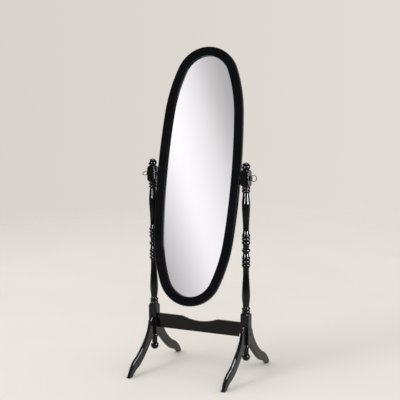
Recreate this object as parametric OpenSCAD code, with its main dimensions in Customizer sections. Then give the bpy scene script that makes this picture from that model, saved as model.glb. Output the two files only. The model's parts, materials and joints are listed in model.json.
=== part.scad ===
// Free-standing oval dressing mirror on a turned, black lacquered wooden stand.
// Origin: on the floor, midway between the two posts. X runs from the left post to the right one,
// -Y is the side that the glass faces, +Z is up. Millimetres. The oval leans back by rest_tilt.

/* [Stand] */
// Side of the square stock that the posts are turned from
block_w = 40; // [40:1:48]
// Height of the tilt axis above the floor
pivot_z = 916; // [880:1:980]
// Height of the square block that carries the tilt axis
pivot_block_h = 74; // [60:1:90]
// Height of the lower block's underside above the floor
leg_block_z = 151; // [146:1:160]
// Height of the lower block, which carries the legs and the stretcher
leg_block_h = 146; // [130:1:170]

/* [Turning] */
// Diameter over the beads
bead_d = 39; // [34:0.5:39.5]
// Diameter at the bottom of the grooves between beads
groove_d = 32; // [28:0.5:34]
// Diameter of the thinnest part of the shaft
neck_d = 27.6; // [24:0.2:30]
// Diameter of the shaft at its bellies
belly_d = 38; // [33:0.5:39.5]
// Diameter of the shaft where it meets the beads next to a block
end_neck_d = 29.4; // [26:0.2:31]
// Distance from a belly's widest point to the nearer block
belly_offset = 80; // [60:1:100]
// Height of the ball at the middle of the shaft
ball_h = 17; // [12:1:22]
// Length of the cove on each side of the middle ball
cove_len = 20; // [14:1:26]
// Height of each bead beside the middle ball
mid_bead_h = 14; // [10:0.5:16]
// Number of beads in each of those groups
mid_beads = 3; // [1:1:4]
// Height of each bead next to a block
end_bead_h = 12; // [8:0.5:14]
// Number of beads next to a block
end_beads = 2; // [1:1:3]
// Width of the groove between two beads
bead_gap = 2.2; // [1:0.1:4]
// Length of the flare from the last middle bead to the neck
flare_len = 16; // [8:1:24]
// Diameter of the ball on top of each post
finial_d = 39; // [33:0.5:39.5]
// Height of that ball's centre above the pivot block
finial_rise = 14; // [10:1:16]
// Diameter of the ball that hangs under each post
drop_d = 38; // [30:0.5:39.5]
// Depth of that ball's centre below the lower block
drop_fall = 58; // [50:1:66]
// Height of the bead under the lower block
drop_bead_h = 16; // [10:1:20]
// Diameter of the bead under the lower block
drop_bead_d = 34; // [30:1:38]
// Diameter of the neck above the hanging ball
drop_neck_d = 25; // [20:1:30]

/* [Block shoulders] */
// Height of the rounded shoulder on top of the pivot block
pivot_top_shoulder = 20; // [8:1:24]
// Height of the rounded shoulder under the pivot block
pivot_low_shoulder = 20; // [8:1:22]
// Height of the rounded shoulder on top of the lower block
leg_top_shoulder = 13; // [6:1:20]
// Height of the rounded shoulder under the lower block
leg_low_shoulder = 5; // [3:1:10]

/* [Legs] */
// Reach of a toe from the post's axis
leg_reach = 260; // [235:1:300]
// Height at which a leg's upper edge meets the post
leg_top = 240; // [225:1:260]
// Thickness of the board that the legs are cut from
leg_t = 19; // [16:0.5:24]
// Rounding along a leg's edges
leg_edge_r = 5; // [1:0.5:6]
// Length of the flat under a toe
toe_flat = 30; // [24:1:40]
// Diameter of the glide under a toe
glide_d = 16; // [12:1:18]
// Height of the glide, which lifts the toe off the floor
glide_h = 2.5; // [1.5:0.5:5]
// Diameter of the glide's nail
nail_d = 2; // [1.5:0.1:3]
// Length of that nail in the leg
nail_l = 10; // [6:1:12]

/* [Stretcher] */
// Thickness of the stretcher board
stretcher_t = 18; // [17:1:24]
// Height of its lower edge above the floor
stretcher_z = 186; // [170:1:200]
// Height of the board at its ends
stretcher_h = 66; // [60:1:90]
// Length of the dip in its upper edge
dip_len = 196; // [150:2:240]
// Depth of that dip
dip_depth = 17.5; // [8:0.5:24]
// Radius of the convex bends at the ends of the dip
dip_bend_r = 45; // [20:1:80]
// Rounding along the stretcher's edges
stretcher_edge_r = 2; // [1:0.5:4]

/* [Oval frame] */
// Width of the oval frame
oval_w = 420; // [380:2:480]
// Height of the oval frame
oval_h = 1194; // [1100:2:1240]
// Radius of the outer edge between the long sides and the tips
oval_shoulder_r = 700; // [600:10:800]
// Angle of the long side arcs, each side of the middle
oval_side_angle = 4.7; // [4:0.1:6]
// Angle at which the tip arcs begin
oval_tip_angle = 22.4; // [19:0.1:26]
// Width of the frame's face
face_w = 43; // [36:1:50]
// Thickness of the frame
frame_t = 18; // [16:1:24]
// Rounding of the outer front edge
frame_outer_r = 6; // [2:0.5:7]
// Rounding of the sight edge beside the glass
frame_sight_r = 3; // [1:0.5:5]
// Rounding of the outer back edge
frame_back_r = 2; // [1:0.5:4]
// Width of the rebate that holds the glass
rebate_w = 9; // [6:0.5:12]
// Lean of the mirror from upright
rest_tilt = 12; // [0:1:20]

/* [Glass and back] */
// Thickness of the glass
glass_t = 3; // [2:0.5:4]
// Thickness of the sheet that cushions the glass
cushion_t = 3; // [1:0.5:4]
// Thickness of the backing board
board_t = 3; // [2:0.5:6]
// Distance of the backing board's edge inside the frame's edge
board_inset = 14; // [8:1:20]
// Distance of the backing screws inside the frame's edge
screw_inset = 24; // [20:1:28]
// Diameter of a backing screw's shank
wood_screw_d = 3; // [2.5:0.5:4]
// Diameter of its head
wood_head_d = 7; // [5.5:0.5:9]
// Height of its head
wood_head_h = 1.6; // [1:0.2:3]
// Length of its shank
wood_screw_l = 11; // [9:1:14]

/* [Pivot hardware] */
// Diameter of the ring screws' shanks
pin_d = 6; // [5:0.5:8]
// Outside diameter of the threaded insert in the frame's edge
insert_d = 10; // [9:0.5:12]
// Length of that insert
insert_l = 14; // [10:1:20]
// Diameter of the spacer between frame and post
spacer_d = 20; // [14:1:24]
// Length of that spacer, which sets how far apart the posts stand
spacer_l = 7.2; // [2:0.1:16]
// Diameter of the washer on the post's outer face
washer_d = 24; // [16:1:26]
// Thickness of that washer
washer_t = 1.5; // [1:0.5:3]
// Diameter of the collar moulded round the root of the ring
collar_d = 22; // [16:1:24]
// Length of that collar
collar_l = 6; // [5:0.5:12]
// Thickness of the collar behind the ring
ring_back = 0.8; // [0.6:0.1:2]
// Diameter through the middle of the ring's wire
ring_d = 27; // [20:1:32]
// Diameter of the ring's wire
ring_wire_d = 4; // [2.5:0.5:5]
// Turn of the left ring out of the upright plane
left_ring_turn = 57; // [0:1:90]

/* [Joinery] */
// Diameter of the wooden dowels
dowel_d = 8; // [6:1:8]
// Length of the dowels between post and leg
leg_dowel_l = 38; // [32:1:44]
// Depth of those dowels in the post
leg_dowel_in = 14; // [10:1:15]
// Heights of those dowels above the lower block's underside
leg_dowel_up = [20, 60]; // [16:1:66]
// Length of the dowels between post and stretcher
stretcher_dowel_l = 40; // [30:1:50]
// Height of those dowels above the stretcher's lower edge
stretcher_dowel_up = 50; // [44:1:52]
// Height of the stretcher bolts above the stretcher's lower edge
bolt_up = 15; // [13:0.5:18]
// Diameter of the stretcher bolts
bolt_d = 6; // [5:0.5:8]
// Length of their shanks
bolt_l = 70; // [60:1:80]
// Diameter of their heads
bolt_head_d = 10; // [9:0.5:12]
// Height of their heads
bolt_head_h = 6; // [4:0.5:6.5]
// Depth of the counterbore for the head
counterbore_depth = 7; // [6.5:0.5:10]
// Diameter of the counterbore
counterbore_d = 12.5; // [11:0.5:14]
// Diameter of the barrel nuts in the stretcher
nut_d = 10; // [8:0.5:12]
// Length of the barrel nuts
nut_l = 14; // [12:0.5:15.5]
// Distance of a barrel nut from the stretcher's end
nut_in = 30; // [20:1:40]

/* [Fits] */
// Radial clearance of a turning shank in its bore
running_fit = 0.06; // [0.02:0.01:0.1]
// Radial clearance of a fixed piece in its hole
close_fit = 0.05; // [0.02:0.01:0.1]
// Radial clearance of a loose through hole
loose_fit = 0.3; // [0.2:0.1:0.6]
// Gap between flat faces that move past each other
side_gap = 0.3; // [0.2:0.1:0.6]
// Play between the glass's edge and the frame
glass_play = 0.5; // [0.1:0.1:1]

/* [Hidden] */

lacquer = [0.06, 0.06, 0.07];
raw_wood = [0.72, 0.58, 0.40];
steel = [0.62, 0.62, 0.63];
dark_steel = [0.16, 0.16, 0.17];

round_fn = 64;          // facets of a round piece in the preview
bead_steps = 10;        // straight steps round one bead
curve_steps = 14;       // straight steps along one ogee
ball_steps = 12;        // straight steps round a ball
shoulder_steps = 6;     // straight steps round a block's shoulder
dip_steps = 14;         // straight steps along the stretcher's dip
edge_steps = 3;         // straight steps round a rounded edge
collar_rim_r = 1;       // rounding of the collar's inner rim, half that of the outer one

half_block = block_w / 2;
post_x = oval_w / 2 + spacer_l + side_gap + half_block;
corner_r = block_w * sqrt(0.5) + 0.5;       // the lathe leaves the block's corners alone past this

pivot_block_top = pivot_z + pivot_block_h / 2;
pivot_block_low = pivot_z - pivot_block_h / 2;
leg_block_top = leg_block_z + leg_block_h;
shaft_mid = (pivot_block_low + leg_block_top) / 2;
shaft_half = (pivot_block_low - leg_block_top) / 2;
finial_z = pivot_block_top + finial_rise;
drop_z = leg_block_z - drop_fall;

stretcher_l = 2 * post_x - block_w;
bolt_z = stretcher_z + bolt_up;
bolt_seat_x = post_x + half_block - counterbore_depth;
nut_x = stretcher_l / 2 - nut_in;
toe_y = leg_reach - toe_flat / 2;
nail_top = glide_h + nail_l;

insert_end_x = oval_w / 2 - close_fit;
washer_x = post_x + half_block + side_gap;
collar_x = washer_x + washer_t;
ring_x = collar_x + ring_back + ring_wire_d / 2 + ring_d / 2;

// ---- turned work -------------------------------------------------------------------------------

// A bead from d0 to d1 along the shaft: half an ellipse on a groove radius
function bead(d0, d1, low_r, crest_r) =
    [for (i = [0 : bead_steps]) let (a = 180 - 180 * i / bead_steps)
        [low_r + (crest_r - low_r) * sin(a), (d0 + d1) / 2 + (d1 - d0) / 2 * cos(a)]];

// The inner points of an S-shaped change of radius
function ogee(d0, r0, d1, r1) =
    [for (i = [1 : curve_steps - 1]) let (u = i / curve_steps)
        [r0 + (r1 - r0) * (1 - cos(180 * u)) / 2, d0 + (d1 - d0) * u]];

// The inner points of a hollow that starts steep at d0 and runs out flat at d1
function hollow(d0, r0, d1, r1) =
    [for (i = [1 : bead_steps - 1]) let (u = i / bead_steps)
        [r1 + (r0 - r1) * (1 - sin(90 * u)), d0 + (d1 - d0) * u]];

// The shaft from its middle to a block, as [radius, distance from the middle]
cove_d = ball_h / 2;
mid_beads_d = cove_d + cove_len;
flare_d = mid_beads_d + mid_beads * mid_bead_h + (mid_beads - 1) * bead_gap;
neck_d_at = flare_d + flare_len;
end_beads_d = shaft_half - bead_gap / 2 - end_beads * end_bead_h - (end_beads - 1) * bead_gap;
half_shaft = concat(
    [for (i = [0 : bead_steps / 2]) let (a = 90 - 180 * i / bead_steps)
        [neck_d / 2 + (bead_d - neck_d) / 2 * sin(a), cove_d * cos(a)]],
    reversed(hollow(mid_beads_d, groove_d / 2, cove_d, neck_d / 2)),
    [for (k = [0 : mid_beads - 1]) let (d = mid_beads_d + k * (mid_bead_h + bead_gap))
        each bead(d, d + mid_bead_h, groove_d / 2, bead_d / 2)],
    hollow(flare_d, groove_d / 2, neck_d_at, neck_d / 2),
    [[neck_d / 2, neck_d_at]],
    ogee(neck_d_at, neck_d / 2, shaft_half - belly_offset, belly_d / 2),
    [[belly_d / 2, shaft_half - belly_offset]],
    ogee(shaft_half - belly_offset, belly_d / 2, end_beads_d, end_neck_d / 2),
    [for (k = [0 : end_beads - 1]) let (d = end_beads_d + k * (end_bead_h + bead_gap))
        each bead(d, d + end_bead_h, groove_d / 2, bead_d / 2)]);

// ---- shared shapes -----------------------------------------------------------------------------

function reversed(list) = [for (i = [len(list) - 1 : -1 : 0]) list[i]];

// Points on an arc of a circle, both ends included
function arc(centre, r, from, to, steps) =
    [for (i = [0 : steps]) let (a = from + (to - from) * i / steps) centre + r * [cos(a), sin(a)]];

// Points on a cubic curve through its first and last point, without the first
function curve(p, steps) =
    [for (i = [1 : steps]) let (t = i / steps, s = 1 - t)
        s*s*s * p[0] + 3*s*s*t * p[1] + 3*s*t*t * p[2] + t*t*t * p[3]];

// A corner of an anticlockwise outline, moved inwards by d from both of its edges
function inset_corner(before, c, after, d) =
    let (u = (c - before) / norm(c - before), v = (after - c) / norm(after - c),
         m = [-u[1], u[0]], n = [-v[1], v[0]])
    c + d * (m + n) / (1 + m * n);

function inset(outline, d) =
    let (n = len(outline))
    [for (i = [0 : n - 1]) inset_corner(outline[(i + n - 1) % n], outline[i], outline[(i + 1) % n], d)];

// A board t thick between two edges with as many points each, with all its edges rounded by r.
// It lies in XY, with its middle at z = 0.
module rounded_board(low_edge, high_edge, t, r) {
    count = len(low_edge);
    n = 2 * count;
    outline = concat(low_edge, reversed(high_edge));
    side = [for (k = [0 : edge_steps]) let (a = 90 * k / edge_steps)
        [r * (1 - sin(a)), t/2 - r * (1 - cos(a))]];
    rings = concat([for (s = side) [s[0], -s[1]]], reversed(side));
    last = (len(rings) - 1) * n;
    points = [for (ring = rings) each [for (p = inset(outline, ring[0])) [p[0], p[1], ring[1]]]];
    walls = [for (k = [0 : len(rings) - 2], i = [0 : n - 1])
        let (a = k * n + i, b = k * n + (i + 1) % n) each [[a, a + n, b + n], [a, b + n, b]]];
    caps = [for (i = [0 : count - 2]) let (lo = i, hi = n - 1 - i)
        each [[lo, lo + 1, hi - 1], [lo, hi - 1, hi],
              [last + lo, last + hi - 1, last + lo + 1], [last + lo, last + hi, last + hi - 1]]];
    polyhedron(points, concat(walls, caps));
}

// Round rods between two places along X or Y
module rod_x(from, to, d) translate([min(from, to), 0, 0]) rotate([0, 90, 0])
    cylinder(d = d, h = abs(to - from), $fn = round_fn);
module rod_y(from, to, d) translate([0, max(from, to), 0]) rotate([90, 0, 0])
    cylinder(d = d, h = abs(to - from), $fn = round_fn);
module tube_x(from, to, d, bore_d) difference() {
    rod_x(from, to, d);
    rod_x(min(from, to) - 1, max(from, to) + 1, bore_d);
}

// ---- posts -------------------------------------------------------------------------------------

// The rounded end of a square block, from radius r at height z out to the block's corners
function shoulder(z, r, h, up) =
    [for (i = [0 : shoulder_steps]) let (a = 90 * i / shoulder_steps)
        [r + (corner_r - r) * sin(a), z + up * h * (1 - cos(a))]];

// The outline of a ball on the axis, from one angle to another, 0 being its lowest point
function ball(d, z, from, to) =
    [for (i = [0 : ball_steps]) let (a = from + (to - from) * i / ball_steps)
        [d / 2 * sin(a), z - d / 2 * cos(a)]];

seat_angle = acos(2 * finial_rise / finial_d);
seat_r = finial_d / 2 * sin(seat_angle) + 0.5;

// The whole turned outline from the hanging ball up to the finial, as [radius, height]
post_profile = concat(
    ball(drop_d, drop_z, 0, 180 - asin(drop_neck_d / drop_d)),
    bead(leg_block_z - bead_gap / 2 - drop_bead_h, leg_block_z - bead_gap / 2,
         drop_neck_d / 2, drop_bead_d / 2),
    shoulder(leg_block_z, groove_d / 2, leg_low_shoulder, 1),
    reversed(shoulder(leg_block_top, groove_d / 2, leg_top_shoulder, -1)),
    [for (p = reversed(half_shaft)) if (p[1] > 0) [p[0], shaft_mid - p[1]]],
    [for (p = half_shaft) [p[0], shaft_mid + p[1]]],
    shoulder(pivot_block_low, groove_d / 2, pivot_low_shoulder, 1),
    reversed(shoulder(pivot_block_top, seat_r, pivot_top_shoulder, -1)),
    ball(finial_d, finial_z, seat_angle, 180));

// A post as it comes off the lathe, its blocks still square. side is -1 for left and 1 for right.
module post(side) color(lacquer) translate([side * post_x, 0, 0]) difference() {
    intersection() {
        rotate_extrude($fn = round_fn) polygon(post_profile);
        translate([-half_block, -half_block, 0]) cube([block_w, block_w, finial_z + finial_d]);
    }
    translate([0, 0, pivot_z]) rod_x(-block_w, block_w, pin_d + 2 * running_fit);
    translate([0, 0, bolt_z]) rod_x(-block_w, block_w, bolt_d + 2 * loose_fit);
    translate([0, 0, bolt_z])
        rod_x(side * (half_block - counterbore_depth), side * block_w, counterbore_d);
    translate([0, 0, stretcher_z + stretcher_dowel_up])
        rod_x(side * (stretcher_dowel_l / 2 - half_block), -side * block_w, dowel_d + 2 * close_fit);
    for (up = leg_dowel_up, front = [-1, 1]) translate([0, 0, leg_block_z + up])
        rod_y(front * (half_block - leg_dowel_in), front * block_w, dowel_d + 2 * close_fit);
}

module left_post() post(-1);
module right_post() post(1);

// ---- legs, glides and stretcher ----------------------------------------------------------------

// Where the leg's curves meet: below the rounded top, above the ankle and under the ankle
leg_knee = [half_block + 35, leg_top - 28];
ankle_top = [leg_reach - 70, 71];
ankle_under = [leg_reach - 85, 30];
toe_back = [leg_reach - toe_flat, 0];
toe_front = [leg_reach, 0];
overrun = leg_edge_r + 2;       // how far an edge is drawn past the place where it is cut off square

leg_upper = concat(
    [[half_block - overrun, leg_top + overrun / 2], [half_block, leg_top]],
    curve([[half_block, leg_top], [half_block + 13, leg_top - 7], leg_knee + [-2, 6], leg_knee], 4),
    curve([leg_knee, leg_knee + [17, -55], ankle_top + [-58, 23], ankle_top], 10),
    curve([ankle_top, ankle_top + [23, -9], toe_front + [0, 21], toe_front], 8),
    [toe_front - [0, overrun]]);
leg_under = concat(
    [[half_block - overrun, leg_block_z + overrun], [half_block, leg_block_z]],
    curve([[half_block, leg_block_z], [half_block + 37, leg_block_z - 34],
           ankle_under + [-41, 10], ankle_under], 14),
    curve([ankle_under, ankle_under + [14, -3], toe_back + [-10, 10], toe_back], 8),
    [toe_back + [overrun, -overrun]]);

// A leg is sawn from a board and its edges are rounded over. front is -1 or 1, for -Y or +Y.
module leg(side, front) color(lacquer) translate([side * post_x, 0, 0]) mirror([0, front < 0 ? 1 : 0, 0])
difference() {
    rotate([90, 0, 90]) rounded_board(leg_under, leg_upper, leg_t, leg_edge_r);
    translate([-leg_t, half_block - 2 * overrun, 0]) cube([2 * leg_t, 2 * overrun, leg_top + 2 * overrun]);
    translate([-leg_t, 0, -2 * overrun]) cube([2 * leg_t, leg_reach + overrun, 2 * overrun + glide_h]);
    for (up = leg_dowel_up) translate([0, 0, leg_block_z + up])
        rod_y(0, half_block + leg_dowel_l - leg_dowel_in, dowel_d + 2 * close_fit);
    translate([0, toe_y, 0]) cylinder(d = nail_d + 2 * close_fit, h = nail_top, $fn = round_fn);
}

module front_left_leg() leg(-1, -1);
module front_right_leg() leg(1, -1);
module back_left_leg() leg(-1, 1);
module back_right_leg() leg(1, 1);

// A nail-on glide: a plastic disc with its edge broken, round the shank of its nail
module glide(side, front) color(dark_steel) translate([side * post_x, front * toe_y, 0])
    rotate_extrude($fn = round_fn)
    polygon([[0, 0], [glide_d / 2 - 0.8, 0], [glide_d / 2, 0.8], [glide_d / 2, glide_h],
             [nail_d / 2, glide_h], [nail_d / 2, nail_top - 1], [0, nail_top - 0.5]]);

module front_left_glide() glide(-1, -1);
module front_right_glide() glide(1, -1);
module back_left_glide() glide(-1, 1);
module back_right_glide() glide(1, 1);

stretcher_top = stretcher_z + stretcher_h;
dip_angle = 2 * atan(2 * dip_depth / dip_len);
dip_r = dip_len / 2 / sin(dip_angle) - dip_bend_r;
stretcher_upper = concat(
    [[-stretcher_l / 2 - overrun, stretcher_top]],
    arc([-dip_len / 2, stretcher_top - dip_bend_r], dip_bend_r, 90, 90 - dip_angle, 5),
    [for (i = [1 : dip_steps]) let (a = 270 + dip_angle * (2 * i / dip_steps - 1))
        [0, stretcher_top - dip_depth + dip_r] + dip_r * [cos(a), sin(a)]],
    [for (i = [1 : 5]) let (a = 90 + dip_angle * (1 - i / 5))
        [dip_len / 2, stretcher_top - dip_bend_r] + dip_bend_r * [cos(a), sin(a)]],
    [[stretcher_l / 2 + overrun, stretcher_top]]);
stretcher_lower = [for (p = stretcher_upper) [p[0], stretcher_z]];

module stretcher() color(lacquer) difference() {
    rotate([90, 0, 0]) rounded_board(stretcher_lower, stretcher_upper, stretcher_t, stretcher_edge_r);
    for (side = [-1, 1]) {
        translate([side * (stretcher_l / 2 + overrun), 0, stretcher_top - stretcher_h / 2])
            cube([2 * overrun, 2 * stretcher_t, 2 * stretcher_h], center = true);
        translate([0, 0, bolt_z])
            rod_x(side * (bolt_seat_x - bolt_l - 2), side * post_x, bolt_d + 2 * loose_fit);
        translate([0, 0, stretcher_z + stretcher_dowel_up])
            rod_x(side * (stretcher_l - stretcher_dowel_l) / 2, side * post_x, dowel_d + 2 * close_fit);
        translate([side * nut_x, 0, bolt_z])
            rod_y(stretcher_t / 2 - nut_l - 1, stretcher_t, nut_d + 2 * close_fit);
    }
}

// ---- fastenings of the stand -------------------------------------------------------------------

leg_dowel_y = half_block - leg_dowel_in;
module leg_dowels() color(raw_wood) for (side = [-1, 1], front = [-1, 1], up = leg_dowel_up)
    translate([side * post_x, 0, leg_block_z + up])
        rod_y(front * leg_dowel_y, front * (leg_dowel_y + leg_dowel_l), dowel_d);

module stretcher_dowels() color(raw_wood) for (side = [-1, 1])
    translate([0, 0, stretcher_z + stretcher_dowel_up])
        rod_x(side * (stretcher_l - stretcher_dowel_l) / 2, side * (stretcher_l + stretcher_dowel_l) / 2,
              dowel_d);

// Socket head bolts, pushed in through the posts
module stretcher_bolts() color(dark_steel) for (side = [-1, 1]) translate([0, 0, bolt_z]) difference() {
    union() {
        rod_x(side * (bolt_seat_x - bolt_l), side * (bolt_seat_x + bolt_head_h / 2), bolt_d);
        rod_x(side * bolt_seat_x, side * (bolt_seat_x + bolt_head_h), bolt_head_d);
    }
    translate([side * (bolt_seat_x + bolt_head_h), 0, 0]) rotate([0, 90, 0])
        cylinder(d = bolt_d, h = bolt_head_h, center = true, $fn = 6);
}

module barrel_nuts() color(steel) for (side = [-1, 1]) translate([side * nut_x, 0, bolt_z]) difference() {
    rod_y(stretcher_t / 2 - nut_l, stretcher_t / 2, nut_d);
    rod_x(-nut_d, nut_d, bolt_d + 2 * close_fit);
}

// ---- oval mirror -------------------------------------------------------------------------------

// The oval is drawn with three radii: long side arcs, shoulder arcs and tip arcs that run into each
// other without a corner. The side and tip radii follow from the oval's width and height.
side_dir = [cos(oval_side_angle), sin(oval_side_angle)];
tip_dir = [cos(oval_tip_angle), sin(oval_tip_angle)];
across = oval_shoulder_r * (side_dir[0] - tip_dir[0]) - oval_w / 2;
along = oval_shoulder_r * (side_dir[1] - tip_dir[1]) + oval_h / 2;
closing = (side_dir[0] - 1) * (1 - tip_dir[1]) + tip_dir[0] * side_dir[1];
oval_side_r = (across * (1 - tip_dir[1]) + tip_dir[0] * along) / closing;
oval_tip_r = ((side_dir[0] - 1) * along - side_dir[1] * across) / closing;
side_c = [oval_w / 2 - oval_side_r, 0];
shoulder_c = side_c + (oval_side_r - oval_shoulder_r) * side_dir;
tip_c = [0, oval_h / 2 - oval_tip_r];

// The oval's outline, drawn in from the frame's outer edge by d
function quarter_oval(d) = concat(
    arc(side_c, oval_side_r - d, 0, oval_side_angle, 4),
    [for (i = [1 : 6]) let (a = oval_side_angle + (oval_tip_angle - oval_side_angle) * i / 6)
        shoulder_c + (oval_shoulder_r - d) * [cos(a), sin(a)]],
    [for (i = [1 : 14]) let (a = oval_tip_angle + (90 - oval_tip_angle) * i / 14)
        tip_c + (oval_tip_r - d) * [cos(a), sin(a)]]);
function upper_oval(d) = let (q = quarter_oval(d))
    concat(q, [for (i = [len(q) - 2 : -1 : 0]) [-q[i][0], q[i][1]]]);
function oval(d) = let (u = upper_oval(d))
    concat(u, [for (i = [1 : len(u) - 2]) -u[i]]);

half_t = frame_t / 2;
glass_face = glass_t + cushion_t - half_t;      // height of the glass's front above the frame's middle

// Cross-section of the frame, its outer edge at x = 0 and its front at the top
moulding = concat(
    arc([frame_sight_r - face_w, half_t - frame_sight_r], frame_sight_r, 180, 90, 4),
    arc([-frame_outer_r, half_t - frame_outer_r], frame_outer_r, 90, 0, 6),
    arc([-frame_back_r, frame_back_r - half_t], frame_back_r, 0, -90, 3),
    [[rebate_w - face_w, -half_t], [rebate_w - face_w, glass_face], [-face_w, glass_face]]);

// A shift made in three steps, so that a long one keeps its small digits
module fine_shift(v) {
    whole = [for (c = v) floor(c)];
    part = [for (c = v - whole) floor(c * 1e5) / 1e5];
    translate(whole) translate(part) translate(v - whole - part) children();
}

module frame_arc(centre, r, from, to, fn) fine_shift([centre[0], centre[1], 0])
    rotate_extrude(angle = to - from, start = from, $fn = fn) fine_shift([r, 0]) polygon(moulding);

// Everything on the mirror is drawn lying flat, its glass upwards, and stood up by this
module on_mirror() translate([0, 0, pivot_z]) rotate([90 - rest_tilt, 0, 0]) children();

screw_spots = [for (sx = [-1, 1], sy = [-1, 1], p = [
        side_c + (oval_side_r - screw_inset) * [cos(oval_side_angle / 2), sin(oval_side_angle / 2)],
        shoulder_c + (oval_shoulder_r - screw_inset)
            * [cos((oval_side_angle + oval_tip_angle) / 2), sin((oval_side_angle + oval_tip_angle) / 2)],
        tip_c + (oval_tip_r - screw_inset) * [cos(45), sin(45)]])
    [sx * p[0], sy * p[1]]];

module mirror_frame() color(lacquer) on_mirror() difference() {
    union() {
        for (left = [0, 1]) mirror([left, 0, 0]) {
            frame_arc(side_c, oval_side_r, -oval_side_angle, oval_side_angle, 1440);
            for (low = [0, 1]) mirror([0, low, 0])
                frame_arc(shoulder_c, oval_shoulder_r, oval_side_angle, oval_tip_angle, 360);
        }
        for (low = [0, 1]) mirror([0, low, 0])
            frame_arc(tip_c, oval_tip_r, oval_tip_angle, 180 - oval_tip_angle, 120);
    }
    for (side = [-1, 1])
        rod_x(side * (insert_end_x - insert_l - 1), side * oval_w, insert_d + 2 * close_fit);
    for (p = screw_spots) translate([p[0], p[1], -half_t - 1])
        cylinder(d = wood_screw_d + 2 * close_fit, h = wood_screw_l - board_t + 2, $fn = 32);
}

module mirror_glass() color([0.85, 0.88, 0.90]) on_mirror() translate([0, 0, glass_face - glass_t])
    linear_extrude(glass_t) polygon(oval(face_w - rebate_w + glass_play));

module glass_cushion() color([0.75, 0.65, 0.50]) on_mirror() translate([0, 0, -half_t])
    linear_extrude(cushion_t) polygon(oval(face_w - rebate_w + glass_play));

module backing_board() color([0.35, 0.25, 0.17]) on_mirror() translate([0, 0, -half_t - board_t])
difference() {
    linear_extrude(board_t) polygon(oval(board_inset));
    for (p = screw_spots) translate([p[0], p[1], -1])
        cylinder(d = wood_screw_d + 2 * close_fit, h = board_t + 2, $fn = 32);
}

// Pan head screws that hold the board against the frame's back
module backing_screws() color(steel) on_mirror() for (p = screw_spots)
    translate([p[0], p[1], -half_t - board_t]) rotate_extrude($fn = 32)
        polygon([[0, -wood_head_h], [0.28 * wood_head_d, -wood_head_h],
                 [0.44 * wood_head_d, -0.62 * wood_head_h], [0.5 * wood_head_d, -0.2 * wood_head_h],
                 [0.5 * wood_head_d, 0], [wood_screw_d / 2, 0],
                 [wood_screw_d / 2, wood_screw_l - 2], [0, wood_screw_l]]);

// ---- pivot hardware ----------------------------------------------------------------------------

module insert(side) color(steel) translate([0, 0, pivot_z])
    tube_x(side * (insert_end_x - insert_l), side * insert_end_x, insert_d, pin_d + 2 * close_fit);

module spacer(side) color(dark_steel) translate([0, 0, pivot_z])
    tube_x(side * oval_w / 2, side * (oval_w / 2 + spacer_l), spacer_d, pin_d + 2 * loose_fit);

module washer(side) color(dark_steel) translate([0, 0, pivot_z])
    tube_x(side * washer_x, side * (washer_x + washer_t), washer_d, pin_d + 2 * loose_fit);

// The ring of the screw, a closed loop of wire
module ring(side, wire_d) translate([side * ring_x, 0, 0]) rotate([90, 0, 0])
    rotate_extrude($fn = round_fn) translate([ring_d / 2, 0]) circle(d = wire_d, $fn = 32);

// A round collar with rounded rims, moulded over the end of the screw's shank and the root of its ring.
// turn leans the top of the ring back.
module collar(side, turn) color(dark_steel) translate([0, 0, pivot_z]) rotate([-turn, 0, 0]) difference() {
    translate([side * collar_x, 0, 0]) rotate([0, side * 90, 0]) rotate_extrude($fn = round_fn)
        polygon(concat([[0, 0]],
            arc([collar_d / 2 - collar_rim_r, collar_rim_r], collar_rim_r, -90, 0, 3),
            arc([collar_d / 2 - 2 * collar_rim_r, collar_l - 2 * collar_rim_r], 2 * collar_rim_r, 0, 90, 4),
            [[0, collar_l]]));
    rod_x(side * (collar_x - 1), side * (ring_x - ring_d / 2), pin_d + 2 * close_fit);
    ring(side, ring_wire_d + 2 * close_fit);
}

// A screw whose head is that ring
module ring_screw(side, turn) color(steel) translate([0, 0, pivot_z]) rotate([-turn, 0, 0]) {
    rod_x(side * (insert_end_x - insert_l + 1), side * (ring_x - ring_d / 2), pin_d);
    ring(side, ring_wire_d);
}

module left_insert() insert(-1);
module right_insert() insert(1);
module left_spacer() spacer(-1);
module right_spacer() spacer(1);
module left_washer() washer(-1);
module right_washer() washer(1);
module left_collar() collar(-1, left_ring_turn);
module right_collar() collar(1, 0);
module left_ring_screw() ring_screw(-1, left_ring_turn);
module right_ring_screw() ring_screw(1, 0);

left_post();
right_post();
front_left_leg();
front_right_leg();
back_left_leg();
back_right_leg();
stretcher();
leg_dowels();
stretcher_dowels();
stretcher_bolts();
barrel_nuts();
front_left_glide();
front_right_glide();
back_left_glide();
back_right_glide();
mirror_frame();
mirror_glass();
glass_cushion();
backing_board();
backing_screws();
left_insert();
right_insert();
left_spacer();
right_spacer();
left_washer();
right_washer();
left_collar();
right_collar();
left_ring_screw();
right_ring_screw();
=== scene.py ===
# %% [markdown]
# # An oval dressing mirror on a turned stand
# The object is a tall oval mirror that tilts between two turned posts. The posts stand on curved
# legs and a shaped board joins them. Nearly all of it is wood under gloss black lacquer, so the
# lesson is mostly about two things: clean rounded edges, which is what a gloss finish shows, and
# soft lamps that give those edges something to reflect.
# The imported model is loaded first. It is the fixed frame that every piece below is built on.

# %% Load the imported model
import math
import json
import bpy
import bmesh
from mathutils import Matrix, Vector

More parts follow.
